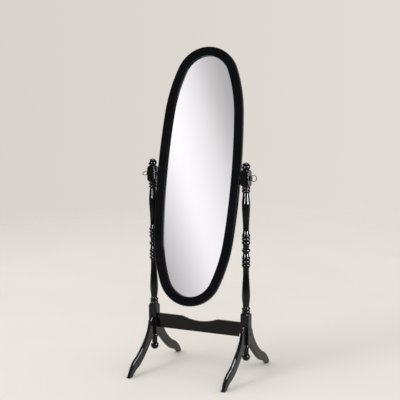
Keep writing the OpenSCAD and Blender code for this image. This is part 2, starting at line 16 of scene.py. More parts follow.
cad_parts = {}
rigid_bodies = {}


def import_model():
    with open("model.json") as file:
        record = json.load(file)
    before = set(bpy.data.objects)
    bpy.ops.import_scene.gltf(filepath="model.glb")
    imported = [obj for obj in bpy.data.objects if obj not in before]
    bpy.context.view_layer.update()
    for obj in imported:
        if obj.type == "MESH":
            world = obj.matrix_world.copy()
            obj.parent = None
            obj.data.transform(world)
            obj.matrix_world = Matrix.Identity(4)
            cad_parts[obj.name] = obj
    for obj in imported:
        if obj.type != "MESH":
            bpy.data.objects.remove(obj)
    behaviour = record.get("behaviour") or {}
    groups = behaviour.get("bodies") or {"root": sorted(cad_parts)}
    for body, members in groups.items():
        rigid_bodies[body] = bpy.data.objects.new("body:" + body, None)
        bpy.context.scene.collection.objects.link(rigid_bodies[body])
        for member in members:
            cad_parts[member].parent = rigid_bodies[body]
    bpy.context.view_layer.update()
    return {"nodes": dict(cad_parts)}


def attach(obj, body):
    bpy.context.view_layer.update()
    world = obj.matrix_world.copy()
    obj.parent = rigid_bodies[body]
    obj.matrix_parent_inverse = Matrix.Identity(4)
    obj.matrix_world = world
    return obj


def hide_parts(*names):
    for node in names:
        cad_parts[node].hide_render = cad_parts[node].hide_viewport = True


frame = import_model()
MM = 0.001
SIDES = ((-1, "left"), (1, "right"))
ENDS = ((-1, "front"), (1, "back"))

# %% [markdown]
# ## The camera
# The photograph is taken from the right of the front, a little above the middle of the mirror.
# A camera can be placed by typing its location and rotation, but a few angles say more: how far
# round the object it stands, how far away, how high, and how far it looks down. The lens is long,
# so the posts stay nearly parallel.

# %% Place the camera
AROUND = math.radians(26.275)
DISTANCE = 4.82406
HEIGHT = 1.46906
PAN = math.radians(-0.0794)
LOOK_DOWN = math.radians(7.8476)
ROLL = math.radians(-0.3388)

heading = AROUND + PAN
look = Vector((-math.sin(heading) * math.cos(LOOK_DOWN), math.cos(heading) * math.cos(LOOK_DOWN),
               -math.sin(LOOK_DOWN)))
level = Vector((math.cos(heading), math.sin(heading), 0))
upward = level.cross(look)
side_axis = math.cos(ROLL) * level + math.sin(ROLL) * upward
top_axis = -math.sin(ROLL) * level + math.cos(ROLL) * upward

camera_data = bpy.data.cameras.new("camera")
camera_data.lens = 95.588
camera_data.sensor_width = 36
camera = bpy.data.objects.new("camera", camera_data)
bpy.context.scene.collection.objects.link(camera)
turn = Matrix((side_axis, top_axis, -look)).transposed().to_4x4()
eye = Vector((DISTANCE * math.sin(AROUND), -DISTANCE * math.cos(AROUND), HEIGHT))
camera.matrix_world = Matrix.Translation(eye) @ turn
bpy.context.scene.camera = camera
print("camera at", [round(c, 3) for c in eye])

# %% [markdown]
# ## Nodes in few words
# A material here is a small network: coordinates of the object, a noise or two, and a shader.
# Wiring each one by hand takes a dozen lines, so a few helpers are made once. The first three
# start a material, fill sockets and add a node with its settings. The others each make one step
# of a finish, such as a noise or a blend of two colours, and give back its result. The world has
# a network too, so the same helpers serve it further down.

# %% Helpers for nodes
def new_material(name):
    material = bpy.data.materials.new(name)
    material.use_nodes = True
    return material, material.node_tree.nodes["Principled BSDF"]


def join(material, value, socket):
    """Gives a socket a number or a colour, or a line from another node's socket."""
    if isinstance(value, bpy.types.NodeSocket):
        material.node_tree.links.new(value, socket)
    else:
        socket.default_value = value


def plug(material, node, **inputs):
    """Fills a node's sockets by their names, with _ for a space."""
    for name, value in inputs.items():
        join(material, value, node.inputs[name.replace("_", " ")])


def add_node(material, kind, settings=None, **inputs):
    """A new node in a material, or in the world."""
    node = material.node_tree.nodes.new("ShaderNode" + kind)
    for key, value in (settings or {}).items():
        setattr(node, key, value)
    plug(material, node, **inputs)
    return node


def calculate(material, operation, *values):
    node = add_node(material, "Math", {"operation": operation})
    for socket, value in zip(node.inputs, values):
        join(material, value, socket)
    return node.outputs[0]


def mix_shaders(material, factor, first, second):
    node = add_node(material, "MixShader")
    for socket, value in zip(node.inputs, (factor, first, second)):
        join(material, value, socket)
    return node.outputs[0]


print("node helpers ready")

# %% Steps of a finish
def place_on_object(material, stretch=(1, 1, 1), spin=(0, 0, 0)):
    """The object's own coordinates in metres, stretched to suit a grain."""
    where = add_node(material, "TexCoord").outputs["Object"]
    return add_node(material, "Mapping", Vector=where, Scale=stretch, Rotation=spin).outputs[0]


def noise(material, where, scale, detail=4, roughness=0.5):
    return add_node(material, "TexNoise", Vector=where, Scale=scale, Detail=detail,
                    Roughness=roughness).outputs["Fac"]


def spread(material, value, low, high, start=0.3, end=0.7):
    """Maps a value from start..end, which is where most of a noise lies, onto low..high."""
    return add_node(material, "MapRange", Value=value, From_Min=start, From_Max=end, To_Min=low,
                    To_Max=high).outputs["Result"]


def blend_colours(material, factor, first, second):
    node = add_node(material, "Mix", {"data_type": "RGBA"})
    for index, value in ((0, factor), (6, first), (7, second)):
        join(material, value, node.inputs[index])
    return node.outputs[2]


def bump(material, height, strength, depth_mm, under=None):
    node = add_node(material, "Bump", Height=height, Strength=strength, Distance=depth_mm * MM)
    if under is not None:
        plug(material, node, Normal=under)
    return node.outputs["Normal"]


print("finish helpers ready")

# %% [markdown]
# ## Gloss black lacquer
# The maker sprays black lacquer over wood, several coats deep. Up close it isn't one colour: the
# film is a touch blue or brown from place to place, it has a faint orange peel, and the open grain
# underneath still shows as fine lines along the board. On edges that hands and shoes rub, the film
# is thinner and a little warmer. One function makes the finish, and each use gives the direction
# of its grain. The value called edge is painted onto each mesh further down: it is 1 where an edge
# is rounded over and 0 on flats, so that the wear knows where the edges are.
# A lower index than glass keeps the faces that look straight at the camera nearly black, while the
# faces seen at a slant still turn grey, which is how the photograph tells front from side.

# %% The lacquer
LACQUER_IOR = 1.31
RUBBED = (0.022, 0.016, 0.012, 1)


def lacquer(name, deep, pale, grain, smoothest, roughest):
    material, shader = new_material(name)
    plain = place_on_object(material)
    cloud = noise(material, plain, scale=7, detail=3)
    fibres = noise(material, place_on_object(material, grain), scale=1, detail=5, roughness=0.65)
    peel = noise(material, plain, scale=420, detail=2)
    patches = noise(material, plain, scale=38, detail=5, roughness=0.7)
    edge = add_node(material, "Attribute", {"attribute_name": "edge"}).outputs["Fac"]
    rubbed = calculate(material, "MULTIPLY", edge, spread(material, patches, 0, 1, 0.52, 0.72))
    tone = blend_colours(material, spread(material, cloud, 0, 1), deep, pale)
    grain_lines = bump(material, fibres, strength=0.10, depth_mm=0.02)
    plug(material, shader, IOR=LACQUER_IOR,
         Base_Color=blend_colours(material, rubbed, tone, RUBBED),
         Roughness=spread(material, noise(material, plain, scale=24), smoothest, roughest),
         Normal=bump(material, peel, strength=0.05, depth_mm=0.004, under=grain_lines))
    return material


turned_lacquer = lacquer("lacquer_on_turning", (0.0022, 0.0024, 0.0028, 1),
                         (0.0050, 0.0047, 0.0045, 1), (420, 420, 16), 0.03, 0.06)
leg_lacquer = lacquer("lacquer_on_legs", (0.0058, 0.0056, 0.0052, 1),
                      (0.0105, 0.0098, 0.0084, 1), (420, 18, 60), 0.04, 0.08)
# The stretcher has the same lacquer as the rest. Its copy gets darker base tones as painted shade, so
# that its front renders as dark as shade makes it look.
stretcher_lacquer_darkened_for_shade = lacquer("lacquer_on_stretcher", (0.0012, 0.0014, 0.0008, 1),
                            (0.0028, 0.0029, 0.0019, 1), (14, 420, 420), 0.04, 0.09)
frame_lacquer = lacquer("lacquer_on_frame", (0.0040, 0.0044, 0.0054, 1),
                        (0.0064, 0.0068, 0.0080, 1), (300, 300, 14), 0.05, 0.11)
print("lacquers:", turned_lacquer.name, leg_lacquer.name, stretcher_lacquer_darkened_for_shade.name, frame_lacquer.name)

# %% [markdown]
# ## Mirror, metals and the plain parts
# The glass is silvered on its back, so what shows is a metal reflection with hardly any cast
# of its own and the odd smear of a cleaning cloth. The ring screws are bright nickel with
# hairline scratches, the nuts and backing screws are zinc plated with the cloudy look that
# plating has, and the washers and bolts are blackened. Spacers, collars and glides are grained
# plastic.

# %% Glass and metals
CLOTH_STRETCH, CLOTH_SPIN = (9, 9, 2.2), (0, 0.5, 0)
HAIRLINES = (1400, 300, 1400)


def silvered_glass():
    material, shader = new_material("silvered_glass")
    plain = place_on_object(material)
    cloth = place_on_object(material, CLOTH_STRETCH, CLOTH_SPIN)
    smear = noise(material, cloth, scale=1, detail=6, roughness=0.6)
    tint = spread(material, noise(material, plain, scale=3), 0, 1)
    plug(material, shader, Metallic=1,
         Base_Color=blend_colours(material, tint, (0.935, 0.922, 0.932, 1), (0.952, 0.944, 0.952, 1)),
         Roughness=spread(material, smear, 0.0, 0.025, 0.35, 0.75),
         Normal=bump(material, noise(material, plain, scale=5, detail=1), 0.02, 0.02))
    return material


def metal(name, colour, second, rough, patch_scale, scratch_depth):
    material, shader = new_material(name)
    patches = noise(material, place_on_object(material), patch_scale, 5, 0.6)
    scratches = noise(material, place_on_object(material, HAIRLINES), 1, 3, 0.6)
    plug(material, shader, Metallic=1,
         Base_Color=blend_colours(material, spread(material, patches, 0, 1), colour, second),
         Roughness=spread(material, scratches, *rough),
         Normal=bump(material, scratches, 0.2, scratch_depth))
    return material


glass_silver = silvered_glass()
nickel = metal("bright_nickel", (0.40, 0.385, 0.36, 1), (0.50, 0.49, 0.47, 1),
               (0.20, 0.32), 120, 0.01)
zinc = metal("zinc_plate", (0.50, 0.51, 0.53, 1), (0.62, 0.61, 0.56, 1),
             (0.26, 0.42), 260, 0.02)
black_steel = metal("blackened_steel", (0.030, 0.030, 0.033, 1), (0.055, 0.052, 0.05, 1),
                    (0.28, 0.42), 180, 0.02)
print("metals:", glass_silver.name, nickel.name, zinc.name, black_steel.name)

# %% Plastic, felt, board and bare wood
def dull(name, colour, second, rough, blotch_scale, grain_scale, depth, stretch=(1, 1, 1), sheen=0):
    """A finish without gloss: two tones in blotches and a grain of some depth."""
    material, shader = new_material(name)
    where = place_on_object(material, stretch)
    blotch = noise(material, where, blotch_scale, 5, 0.65)
    grain = noise(material, where, grain_scale, 3, 0.6)
    mixed = calculate(material, "MULTIPLY_ADD", grain, 0.35, blotch)
    plug(material, shader, Sheen_Weight=sheen,
         Base_Color=blend_colours(material, spread(material, mixed, 0, 1, 0.45, 0.95), colour, second),
         Roughness=spread(material, blotch, *rough),
         Normal=bump(material, grain, 0.5, depth))
    return material


plastic = dull("grained_plastic", (0.026, 0.026, 0.028, 1), (0.042, 0.041, 0.042, 1),
               (0.42, 0.58), 90, 1100, 0.03)
felt = dull("grey_felt", (0.24, 0.225, 0.21, 1), (0.38, 0.36, 0.335, 1),
            (0.9, 1.0), 160, 1500, 0.4, sheen=0.4)
hardboard = dull("brown_hardboard", (0.085, 0.050, 0.029, 1), (0.165, 0.102, 0.062, 1),
                 (0.55, 0.72), 55, 900, 0.06)
bare_wood = dull("bare_beech", (0.42, 0.27, 0.15, 1), (0.62, 0.44, 0.27, 1),
                 (0.55, 0.7), 3, 14, 0.15, stretch=(28, 28, 28))
print("dull finishes:", plastic.name, felt.name, hardboard.name, bare_wood.name)

# %% [markdown]
# ## Building meshes
# Every piece below comes from rings of points: a turned piece is a ring at each height, a board is
# its outline at each depth, the oval frame is its moulding at each place along the oval. So one
# helper that joins rings into a skin serves the whole object. Blender's own primitives could be
# stretched into place instead, but then the rounded edges, which are what the lacquer shows, would
# be missing. Points are in millimetres, as the drawings are, and are scaled once at the end.

# %% Skins from rings
QUARTER = math.pi / 2
POINT_R = 1e-6


def skin(rings, loop=False, caps=True):
    """Faces over rings with as many points each. A ring of one point is a pole."""
    points, starts = [], []
    for ring in rings:
        starts.append(len(points))
        points.extend(ring)
    faces = []
    for low in range(len(rings) if loop else len(rings) - 1):
        high = (low + 1) % len(rings)
        low_n, high_n = len(rings[low]), len(rings[high])
        n = max(low_n, high_n)
        for i in range(n):
            j = (i + 1) % n
            corners = (starts[low] + i % low_n, starts[low] + j % low_n,
                       starts[high] + j % high_n, starts[high] + i % high_n)
            faces.append(tuple(dict.fromkeys(corners)))
    if caps and not loop:
        if len(rings[0]) > 1:
            faces.append(tuple(reversed(range(starts[0], starts[0] + len(rings[0])))))
        if len(rings[-1]) > 1:
            faces.append(tuple(range(starts[-1], starts[-1] + len(rings[-1]))))
    return points, faces


def polar(r, angle, z):
    return Vector((r * math.cos(angle), r * math.sin(angle), z))


def turned(profile, steps=48, angles=None):
    """Rings for a piece turned about Z, from (radius, height) pairs, lowest first."""
    angles = angles or [2 * math.pi * i / steps for i in range(steps)]
    return [[polar(r, a, z) for a in angles] if r > POINT_R else [Vector((0, 0, z))]
            for r, z in profile]


def tapered_box(*levels):
    """A box over levels, each with its half length along X, half width along Y, and height."""
    return skin([[Vector((x * a, y * b, z)) for x, y in ((-1, -1), (1, -1), (1, 1), (-1, 1))]
                 for a, b, z in levels])


def at(x, y, z):
    return Matrix.Translation((x, y, z))


def about(axis, angle):
    return Matrix.Rotation(angle, 4, axis)


def moved(part, place):
    points, faces = part
    return [place @ p for p in points], faces


print("skin helpers ready")

# %% Pieces from skins
def mesh_piece(name, parts, place=None):
    """One mesh object from (points, faces) parts in millimetres."""
    mesh = bpy.data.meshes.new(name)
    points, faces = [], []
    for part_points, part_faces in parts:
        offset = len(points)
        points += [(place @ p if place else p) * MM for p in part_points]
        faces += [tuple(i + offset for i in face) for face in part_faces]
    mesh.from_pydata(points, [], faces)
    piece = bpy.data.objects.new(name, mesh)
    bpy.context.scene.collection.objects.link(piece)
    work = bmesh.new()
    work.from_mesh(mesh)
    bmesh.ops.recalc_face_normals(work, faces=work.faces)
    work.to_mesh(mesh)
    work.free()
    return piece


def combine(piece, parts, operation="DIFFERENCE", place=None):
    """Cuts parts out of a piece, or adds them to it, and keeps the result as its mesh."""
    tool = mesh_piece(piece.name + "_tool", parts, place)
    modifier = piece.modifiers.new("step", "BOOLEAN")
    modifier.operation, modifier.solver, modifier.object = operation, "EXACT", tool
    bpy.context.view_layer.update()
    shaped = piece.evaluated_get(bpy.context.evaluated_depsgraph_get())
    result = bpy.data.meshes.new_from_object(shaped)
    piece.modifiers.clear()
    old, piece.data = piece.data, result
    bpy.data.meshes.remove(old)
    bpy.data.objects.remove(tool)


def finish_piece(piece, material, slot, body, *hidden, sharp=38):
    """Shades a piece, gives it its finish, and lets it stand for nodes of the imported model."""
    mesh = piece.data
    mesh.materials.clear()
    mesh.materials.append(material)
    mesh.shade_smooth()
    mesh.set_sharp_from_angle(angle=math.radians(sharp))
    smooth = piece.modifiers.new("even_shading", "WEIGHTED_NORMAL")
    smooth.keep_sharp = True
    smooth.weight = 80
    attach(piece, body)
    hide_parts(*hidden)
    print(f"{piece.name}: {len(mesh.polygons)} faces, rides on {body}")


print("piece helpers ready")

# %% [markdown]
# ## The turned posts
# A post starts as a square stick. The turner leaves it square where other parts join it, and turns
# the rest into beads, coves and long bellies. Where a square block meets turned work the tool cuts
# a dome, and the flat sides stop it in a curved arris: that arch on each face is the mark of real
# turning. Cutting a lathe shape with a box would give the arch, but with a knife-sharp edge that
# catches no light. So each column of points finds the height at which the dome meets the flat
# side, and the arris is eased there with a small curve.

# %% Measures of a post
BLOCK = 40
HALF_BLOCK = BLOCK / 2
TILT_Z, HALF_PIVOT = 916, 37
PIVOT_TOP, PIVOT_LOW = TILT_Z + HALF_PIVOT, TILT_Z - HALF_PIVOT
LEG_LOW, LEG_BLOCK_H = 151, 146
LEG_TOP_Z = LEG_LOW + LEG_BLOCK_H
BEAD_R, GROOVE_R, NECK_R, BELLY_R, END_NECK_R = 19.5, 16, 13.8, 19, 14.7
BEAD_H, END_BEAD_H, BEAD_GAP = 14, 12, 2.2
BALL_H, COVE_H, FLARE_H, BELLY_BACK = 8.5, 20, 16, 80
SHAFT_MID = (PIVOT_LOW + LEG_TOP_Z) / 2
SHAFT_HALF = (PIVOT_LOW - LEG_TOP_Z) / 2
print("the legs' block is at", LEG_LOW, LEG_TOP_Z, "and the pivot's at", PIVOT_LOW, PIVOT_TOP)

# %% Beads, coves and bellies
def bead(start, end, low_r, crest_r, steps=14):
    """Half an ellipse from a groove up over its crest and back, as (radius, distance)."""
    return [(low_r + (crest_r - low_r) * math.sin(math.pi * i / steps),
             (start + end) / 2 - (end - start) / 2 * math.cos(math.pi * i / steps))
            for i in range(steps + 1)]


def beads(start, height, count):
    rows = []
    for k in range(count):
        low = start + k * (height + BEAD_GAP)
        rows += bead(low, low + height, GROOVE_R, BEAD_R)
    return rows


def s_curve(start, r0, end, r1, steps=26):
    return [(r0 + (r1 - r0) * (1 - math.cos(math.pi * i / steps)) / 2,
             start + (end - start) * i / steps) for i in range(1, steps)]


def cove(steep, r0, flat, r1, steps=12):
    """A hollow that starts steep at one end and runs out flat at the other."""
    return [(r1 + (r0 - r1) * (1 - math.sin(QUARTER * i / steps)),
             steep + (flat - steep) * i / steps) for i in range(1, steps)]


def half_shaft():
    """The shaft from its middle to a block, as (radius, distance from the middle)."""
    first_bead = BALL_H + COVE_H
    flare = first_bead + 3 * BEAD_H + 2 * BEAD_GAP
    neck = flare + FLARE_H
    belly = SHAFT_HALF - BELLY_BACK
    end_beads = SHAFT_HALF - BEAD_GAP / 2 - 2 * END_BEAD_H - BEAD_GAP
    rows = [(NECK_R + (BEAD_R - NECK_R) * math.cos(QUARTER * i / 8),
             BALL_H * math.sin(QUARTER * i / 8)) for i in range(9)]
    rows += reversed(cove(first_bead, GROOVE_R, BALL_H, NECK_R))
    rows += beads(first_bead, BEAD_H, 3)
    rows += cove(flare, GROOVE_R, neck, NECK_R) + [(NECK_R, neck)]
    rows += s_curve(neck, NECK_R, belly, BELLY_R) + [(BELLY_R, belly)]
    rows += s_curve(belly, BELLY_R, end_beads, END_NECK_R)
    rows += beads(end_beads, END_BEAD_H, 2)
    return rows


shaft = [(r, SHAFT_MID - d) for r, d in reversed(half_shaft()) if d > 0]
shaft += [(r, SHAFT_MID + d) for r, d in half_shaft()]
print("shaft rows:", len(shaft), "from", shaft[0][1], "to", shaft[-1][1])

# %% Drop and finial
DROP_R, DROP_Z, DROP_NECK_R, DROP_BEAD_R, DROP_BEAD_H = 19, 93, 12.5, 17, 16
FINIAL_R, FINIAL_UP, FINIAL_STEP = 19.5, 14, 0.5


def ball(radius, centre, start, end, steps):
    """Part of a ball's outline, from one angle to another, 0 being its lowest point."""
    rows = []
    for i in range(steps + 1):
        a = math.radians(start + (end - start) * i / steps)
        rows.append((abs(radius * math.sin(a)), centre - radius * math.cos(a)))
    return rows


drop = ball(DROP_R, DROP_Z, 0, 180 - math.degrees(math.asin(DROP_NECK_R / DROP_R)), 26)
drop_bead_top = LEG_LOW - BEAD_GAP / 2
drop += bead(drop_bead_top - DROP_BEAD_H, drop_bead_top, DROP_NECK_R, DROP_BEAD_R, 16)
seat = math.degrees(math.acos(FINIAL_UP / FINIAL_R))
finial = ball(FINIAL_R, PIVOT_TOP + FINIAL_UP, seat, 180, 24)
seat_r = FINIAL_R * math.sin(math.radians(seat)) + FINIAL_STEP
print("the drop starts at", round(drop[0][1]), "and the finial ends at", finial[-1][1])

# %% Directions round a post
CORNER_EASE = 2.6


def block_directions():
    """(angle, distance to the block's rounded-square side) for each column of points."""
    flat_end = HALF_BLOCK - CORNER_EASE
    reach = math.atan2(flat_end, HALF_BLOCK)
    columns = []
    for quarter in range(4):
        for i in range(16):
            a = -reach + 2 * reach * i / 16
            columns.append((quarter * QUARTER + a, HALF_BLOCK / math.cos(a)))
        for i in range(5):
            b = QUARTER * i / 5
            x, y = flat_end + CORNER_EASE * math.cos(b), flat_end + CORNER_EASE * math.sin(b)
            columns.append((quarter * QUARTER + math.atan2(y, x), math.hypot(x, y)))
    return columns


columns = block_directions()
print("columns:", len(columns))

# %% Rings of a block with eased arrises
DOME_OVER = 0.5
DOME_R = BLOCK * math.sqrt(0.5) + DOME_OVER
ARRIS, ARRIS_ROW, MOST_OF_DOME = 1.1, 1.5, 0.8
LEG_BLOCK_DOMES, PIVOT_BLOCK_DOME = (5, 13), 20


def shoulder_column(limit, z, r, h, up):
    """Points (radius, height) up one column: over the dome, round the arris, onto the flat side."""
    def dome(a):
        return r + (DOME_R - r) * math.sin(a), z + up * h * (1 - math.cos(a))

    meet = math.asin((limit - r) / (DOME_R - r))
    speed = math.hypot((DOME_R - r) * math.cos(meet), h * math.sin(meet))
    ease = min(ARRIS / speed, MOST_OF_DOME * meet)
    rows = [dome((meet - ease) * i / 7) for i in range(8)]
    start, corner = rows[-1], dome(meet)
    end = (limit, corner[1] + up * ARRIS)
    for i in range(1, 5):
        t = i / 4
        rows.append(tuple((1 - t) ** 2 * a + 2 * t * (1 - t) * b + t * t * c
                          for a, b, c in zip(start, corner, end)))
    return rows


def block_rings(low, low_r, low_h, top, top_r, top_h):
    """Rings of a square block between a dome below and a dome above."""
    per_column = []
    for angle, limit in columns:
        under = shoulder_column(limit, low, low_r, low_h, 1)
        over = shoulder_column(limit, top, top_r, top_h, -1)
        flat = [(limit, under[-1][1] + ARRIS_ROW), (limit, over[-1][1] - ARRIS_ROW)]
        per_column.append([polar(r, angle, z) for r, z in under + flat + over[::-1]])
    return [[column[k] for column in per_column] for k in range(len(per_column[0]))]


angles = [angle for angle, _ in columns]
post_rings = turned(drop, angles=angles)
post_rings += block_rings(LEG_LOW, GROOVE_R, LEG_BLOCK_DOMES[0],
                          LEG_TOP_Z, GROOVE_R, LEG_BLOCK_DOMES[1])
post_rings += turned(shaft, angles=angles)
post_rings += block_rings(PIVOT_LOW, GROOVE_R, PIVOT_BLOCK_DOME, PIVOT_TOP, seat_r, PIVOT_BLOCK_DOME)
post_rings += turned(finial, angles=angles)
print("rings in a post:", len(post_rings))

# %% [markdown]
# The post is bored for the ring screw, for the stretcher's bolt with its counterbore, and for
# dowels. Only the counterbore shows, as a dark hole in the outer face, but the others are cut as
# well: a piece that is taken off should leave a true hole behind. Each bore is a small turned
# shape laid on its side and subtracted, and it laps over the face that it opens. The wear needs
# to know where the edges are, so each point also gets a mark from its place on the post.

# %% Bore the posts and stand them up
POST_X = 237.5
BOLT_Z, STRETCHER_DOWEL_Z, LEG_DOWELS_UP = 201, 236, (20, 60)
PIVOT_BORE, DOWEL_BORE, BOLT_BORE, HEAD_BORE = 3.06, 4.05, 3.3, 6.25
COUNTERBORE, DOWEL_FROM, LAP = 7, 6, 1
CORNER_MARK, CORNER_RUN = 26.4, 0.7
CREST_MARK, CREST_RUN, CREST_END, CREST_WEAR = 19.1, 0.4, 19.7, 0.6
LAY = {"x": about("Y", QUARTER), "y": about("X", -QUARTER)}


def rod(axis, start, end, radius, x=0, z=0, steps=48):
    """A rod along X or Y between two distances, as a part for cutting or adding."""
    points, faces = skin(turned([(0, start), (radius, start), (radius, end), (0, end)], steps))
    return [LAY[axis] @ p + Vector((x, 0, z)) for p in points], faces


def clamp(value):
    return min(1.0, max(0.0, value))


def mark_edges(piece, strength):
    """Stores how much of an edge each point is, for the wear in the lacquer."""
    marks = piece.data.attributes.new("edge", "FLOAT", "POINT")
    marks.data.foreach_set("value", [strength(v.co / MM) for v in piece.data.vertices])


def post_edge(p):
    """Crests of the turning and the blocks' arrises."""
    x, y = abs(p.x) - POST_X, p.y
    r = math.hypot(x, y)
    on_crest = r < CREST_END and max(abs(x), abs(y)) < CREST_END - 0.1
    crest = clamp((r - CREST_MARK) / CREST_RUN) if on_crest else 0.0
    return max(clamp((r - CORNER_MARK) / CORNER_RUN), CREST_WEAR * crest)


def make_post(side, word):
    place = at(side * POST_X, 0, 0)
    piece = mesh_piece("turned_post_" + word, [skin(post_rings)], place)
    bores = [rod("x", -BLOCK, BLOCK, PIVOT_BORE, z=TILT_Z),
             rod("x", 0, -side * BLOCK, DOWEL_BORE, z=STRETCHER_DOWEL_Z)]
    bores += [rod("y", front * DOWEL_FROM, front * BLOCK, DOWEL_BORE, z=LEG_LOW + up)
              for up in LEG_DOWELS_UP for front in (-1, 1)]
    bolt = rod("x", -side * BLOCK, side * (HALF_BLOCK - LAP), BOLT_BORE, z=BOLT_Z)
    sink = rod("x", side * (HALF_BLOCK - COUNTERBORE), side * BLOCK, HEAD_BORE, z=BOLT_Z)
    for cut in (bores, [bolt], [sink]):
        combine(piece, cut, place=place)
    mark_edges(piece, post_edge)
    finish_piece(piece, turned_lacquer, "lacquered_turning", "stand", word + "_post")


for side, word in SIDES:
    make_post(side, word)

# %% [markdown]
# ## Sawn boards with rounded edges
# The legs and the stretcher are sawn from boards, and a router rounds their edges over. A bevel
# modifier could do the rounding, but it pinches where the curve is tight. Here the outline is moved
# inwards for each ring of the rounding. A board is then a stack of outlines: the two flat
# faces, a quarter round at each side and the straight band between them. A row of points a little
# inside each rounding keeps the flat beside it flat.

# %% Curves and outlines
def curve(start, lead, trail, end, steps):
    """Points on a cubic curve, without its first point. lead and trail are its handles."""
    p0, p3 = Vector(start), Vector(end)
    p1, p2 = p0 + Vector(lead), p3 + Vector(trail)
    result = []
    for i in range(1, steps + 1):
        t = i / steps
        s = 1 - t
        result.append(p0 * s ** 3 + p1 * 3 * s * s * t + p2 * 3 * s * t * t + p3 * t ** 3)
    return result


def respaced(line, count):
    """The same line with evenly spaced points, so that two edges of a board can be paired."""
    lengths = [0]
    for a, b in zip(line, line[1:]):
        lengths.append(lengths[-1] + (b - a).length)
    result, k = [], 0
    for i in range(count):
        goal = lengths[-1] * i / (count - 1)
        while k < len(line) - 2 and lengths[k + 1] < goal:
            k += 1
        part = (goal - lengths[k]) / (lengths[k + 1] - lengths[k])
        result.append(line[k].lerp(line[k + 1], part))
    return result


def inset(outline, d):
    """An anticlockwise outline moved inwards by d."""
    n = len(outline)
    moved_in = []
    for i, c in enumerate(outline):
        u = (c - outline[i - 1]).normalized()
        v = (outline[(i + 1) % n] - c).normalized()
        m, w = Vector((-u.y, u.x)), Vector((-v.y, v.x))
        moved_in.append(c + (m + w) * d / (1 + m.dot(w)))
    return moved_in


print("outline helpers ready")

# %% Rounded boards and saw cuts
FLAT_ROW = 1.2


def rounded_board(low_edge, high_edge, thick, r, crown=None, steps=6):
    """A board between two edges with as many points each, lying in XY with its middle at z = 0.

    Its edges are rounded by r. With a crown they are rounded over that much of the thickness.
    """
    count = len(low_edge)
    outline = low_edge + high_edge[::-1]
    side = [(r + FLAT_ROW, thick / 2)]
    for k in range(steps + 1):
        a = QUARTER * k / steps
        side.append((r * (1 - math.sin(a)), thick / 2 - (crown or r) * (1 - math.cos(a))))
    levels = [(d, -z) for d, z in side] + side[::-1]
    rings = [[Vector((p.x, p.y, z)) for p in inset(outline, d)] for d, z in levels]
    points, faces = skin(rings, caps=False)
    n, last = 2 * count, (len(rings) - 1) * 2 * count
    for i in range(count - 1):
        lo, hi = i, n - 1 - i
        faces.append((lo, lo + 1, hi - 1, hi))
        faces.append((last + lo, last + hi, last + hi - 1, last + lo + 1))
    return points, faces


def trim(piece, point, outward):
    """Saws a piece off square and closes the cut. outward points to what falls away."""
    work = bmesh.new()
    work.from_mesh(piece.data)
    cut = bmesh.ops.bisect_plane(work, geom=work.verts[:] + work.edges[:] + work.faces[:],
                                 plane_co=Vector(point) * MM, plane_no=outward, clear_outer=True,
                                 dist=1e-7)
    edges = [e for e in cut["geom_cut"] if isinstance(e, bmesh.types.BMEdge)]
    bmesh.ops.contextual_create(work, geom=edges)
    bmesh.ops.recalc_face_normals(work, faces=work.faces)
    work.to_mesh(piece.data)
    work.free()


print("board helpers ready")

# %% [markdown]
# ## The sabre legs
# Each leg sweeps down and out from the post in one S: nearly upright at the top, hollow behind the
# knee, and flattening into a toe that rests on a small glide. Both edges are drawn with cubic
# curves that run into each other without a corner. They are drawn a little past the sole and the
# post, and both ends are sawn off square afterwards, as on the real leg.

# %% Draw the legs' edges
LEG_T, LEG_R, LEG_CROWN = 19, 3.5, 7
LEG_UP, GLIDE_H, OVERRUN = 240, 2.5, 7
KNEE, ANKLE, HEEL = (55, 212), (190, 71), (175, 30)
TOE_BACK, TOE_FRONT = (230, 0), (259.7, 0)
SOLE_LEAN = 5
TOP_BENDS = (((13, -7), (-2, 6), KNEE, 14), ((17, -55), (-58, 23), ANKLE, 40),
             ((23, -9), (0, 21), TOE_FRONT, 34))
UNDER_BENDS = (((37, -34), (-41, 10), HEEL, 40), ((14, -3), (-10, 10), TOE_BACK, 24))


def leg_line(start_z, rise, bends, end_x):
    """One edge of a leg, from a point inside the post to a point under the floor."""
    line = [Vector((HALF_BLOCK - OVERRUN, start_z + rise)), Vector((HALF_BLOCK, start_z))]
    for lead, trail, end, steps in bends:
        line += curve(line[-1], lead, trail, end, steps)
    return respaced(line + [Vector((end_x, -OVERRUN))], 96)


leg_board = rounded_board(leg_line(LEG_LOW, OVERRUN, UNDER_BENDS, TOE_BACK[0] + SOLE_LEAN),
                          leg_line(LEG_UP, OVERRUN / 2, TOP_BENDS, TOE_FRONT[0]),
                          LEG_T, LEG_R, LEG_CROWN, steps=10)
print("points in a leg's board:", len(leg_board[0]))

# %% Place the legs
STAND_UP = about("Z", QUARTER) @ about("X", QUARTER)
DOWEL_HOLE = 24


def leg_edge(p):
    """Rounded edges are away from the leg's flat faces."""
    return clamp((LEG_T / 2 - abs(abs(p.x) - POST_X)) / LEG_R)


def make_leg(side, front, words):
    place = at(side * POST_X, 0, 0) @ Matrix.Diagonal((1, front, 1, 1))
    piece = mesh_piece("sabre_leg_" + words, [leg_board], place @ STAND_UP)
    trim(piece, (0, front * HALF_BLOCK, 0), (0, -front, 0))
    trim(piece, (0, 0, GLIDE_H), (0, 0, -1))
    holes = [rod("y", 0, HALF_BLOCK + DOWEL_HOLE, DOWEL_BORE, z=LEG_LOW + up, steps=32)
             for up in LEG_DOWELS_UP]
    combine(piece, holes, place=place)
    mark_edges(piece, leg_edge)
    finish_piece(piece, leg_lacquer, "lacquered_board", "stand", words + "_leg")


for front, end in ENDS:
    for side, word in SIDES:
        make_leg(side, front, f"{end}_{word}")

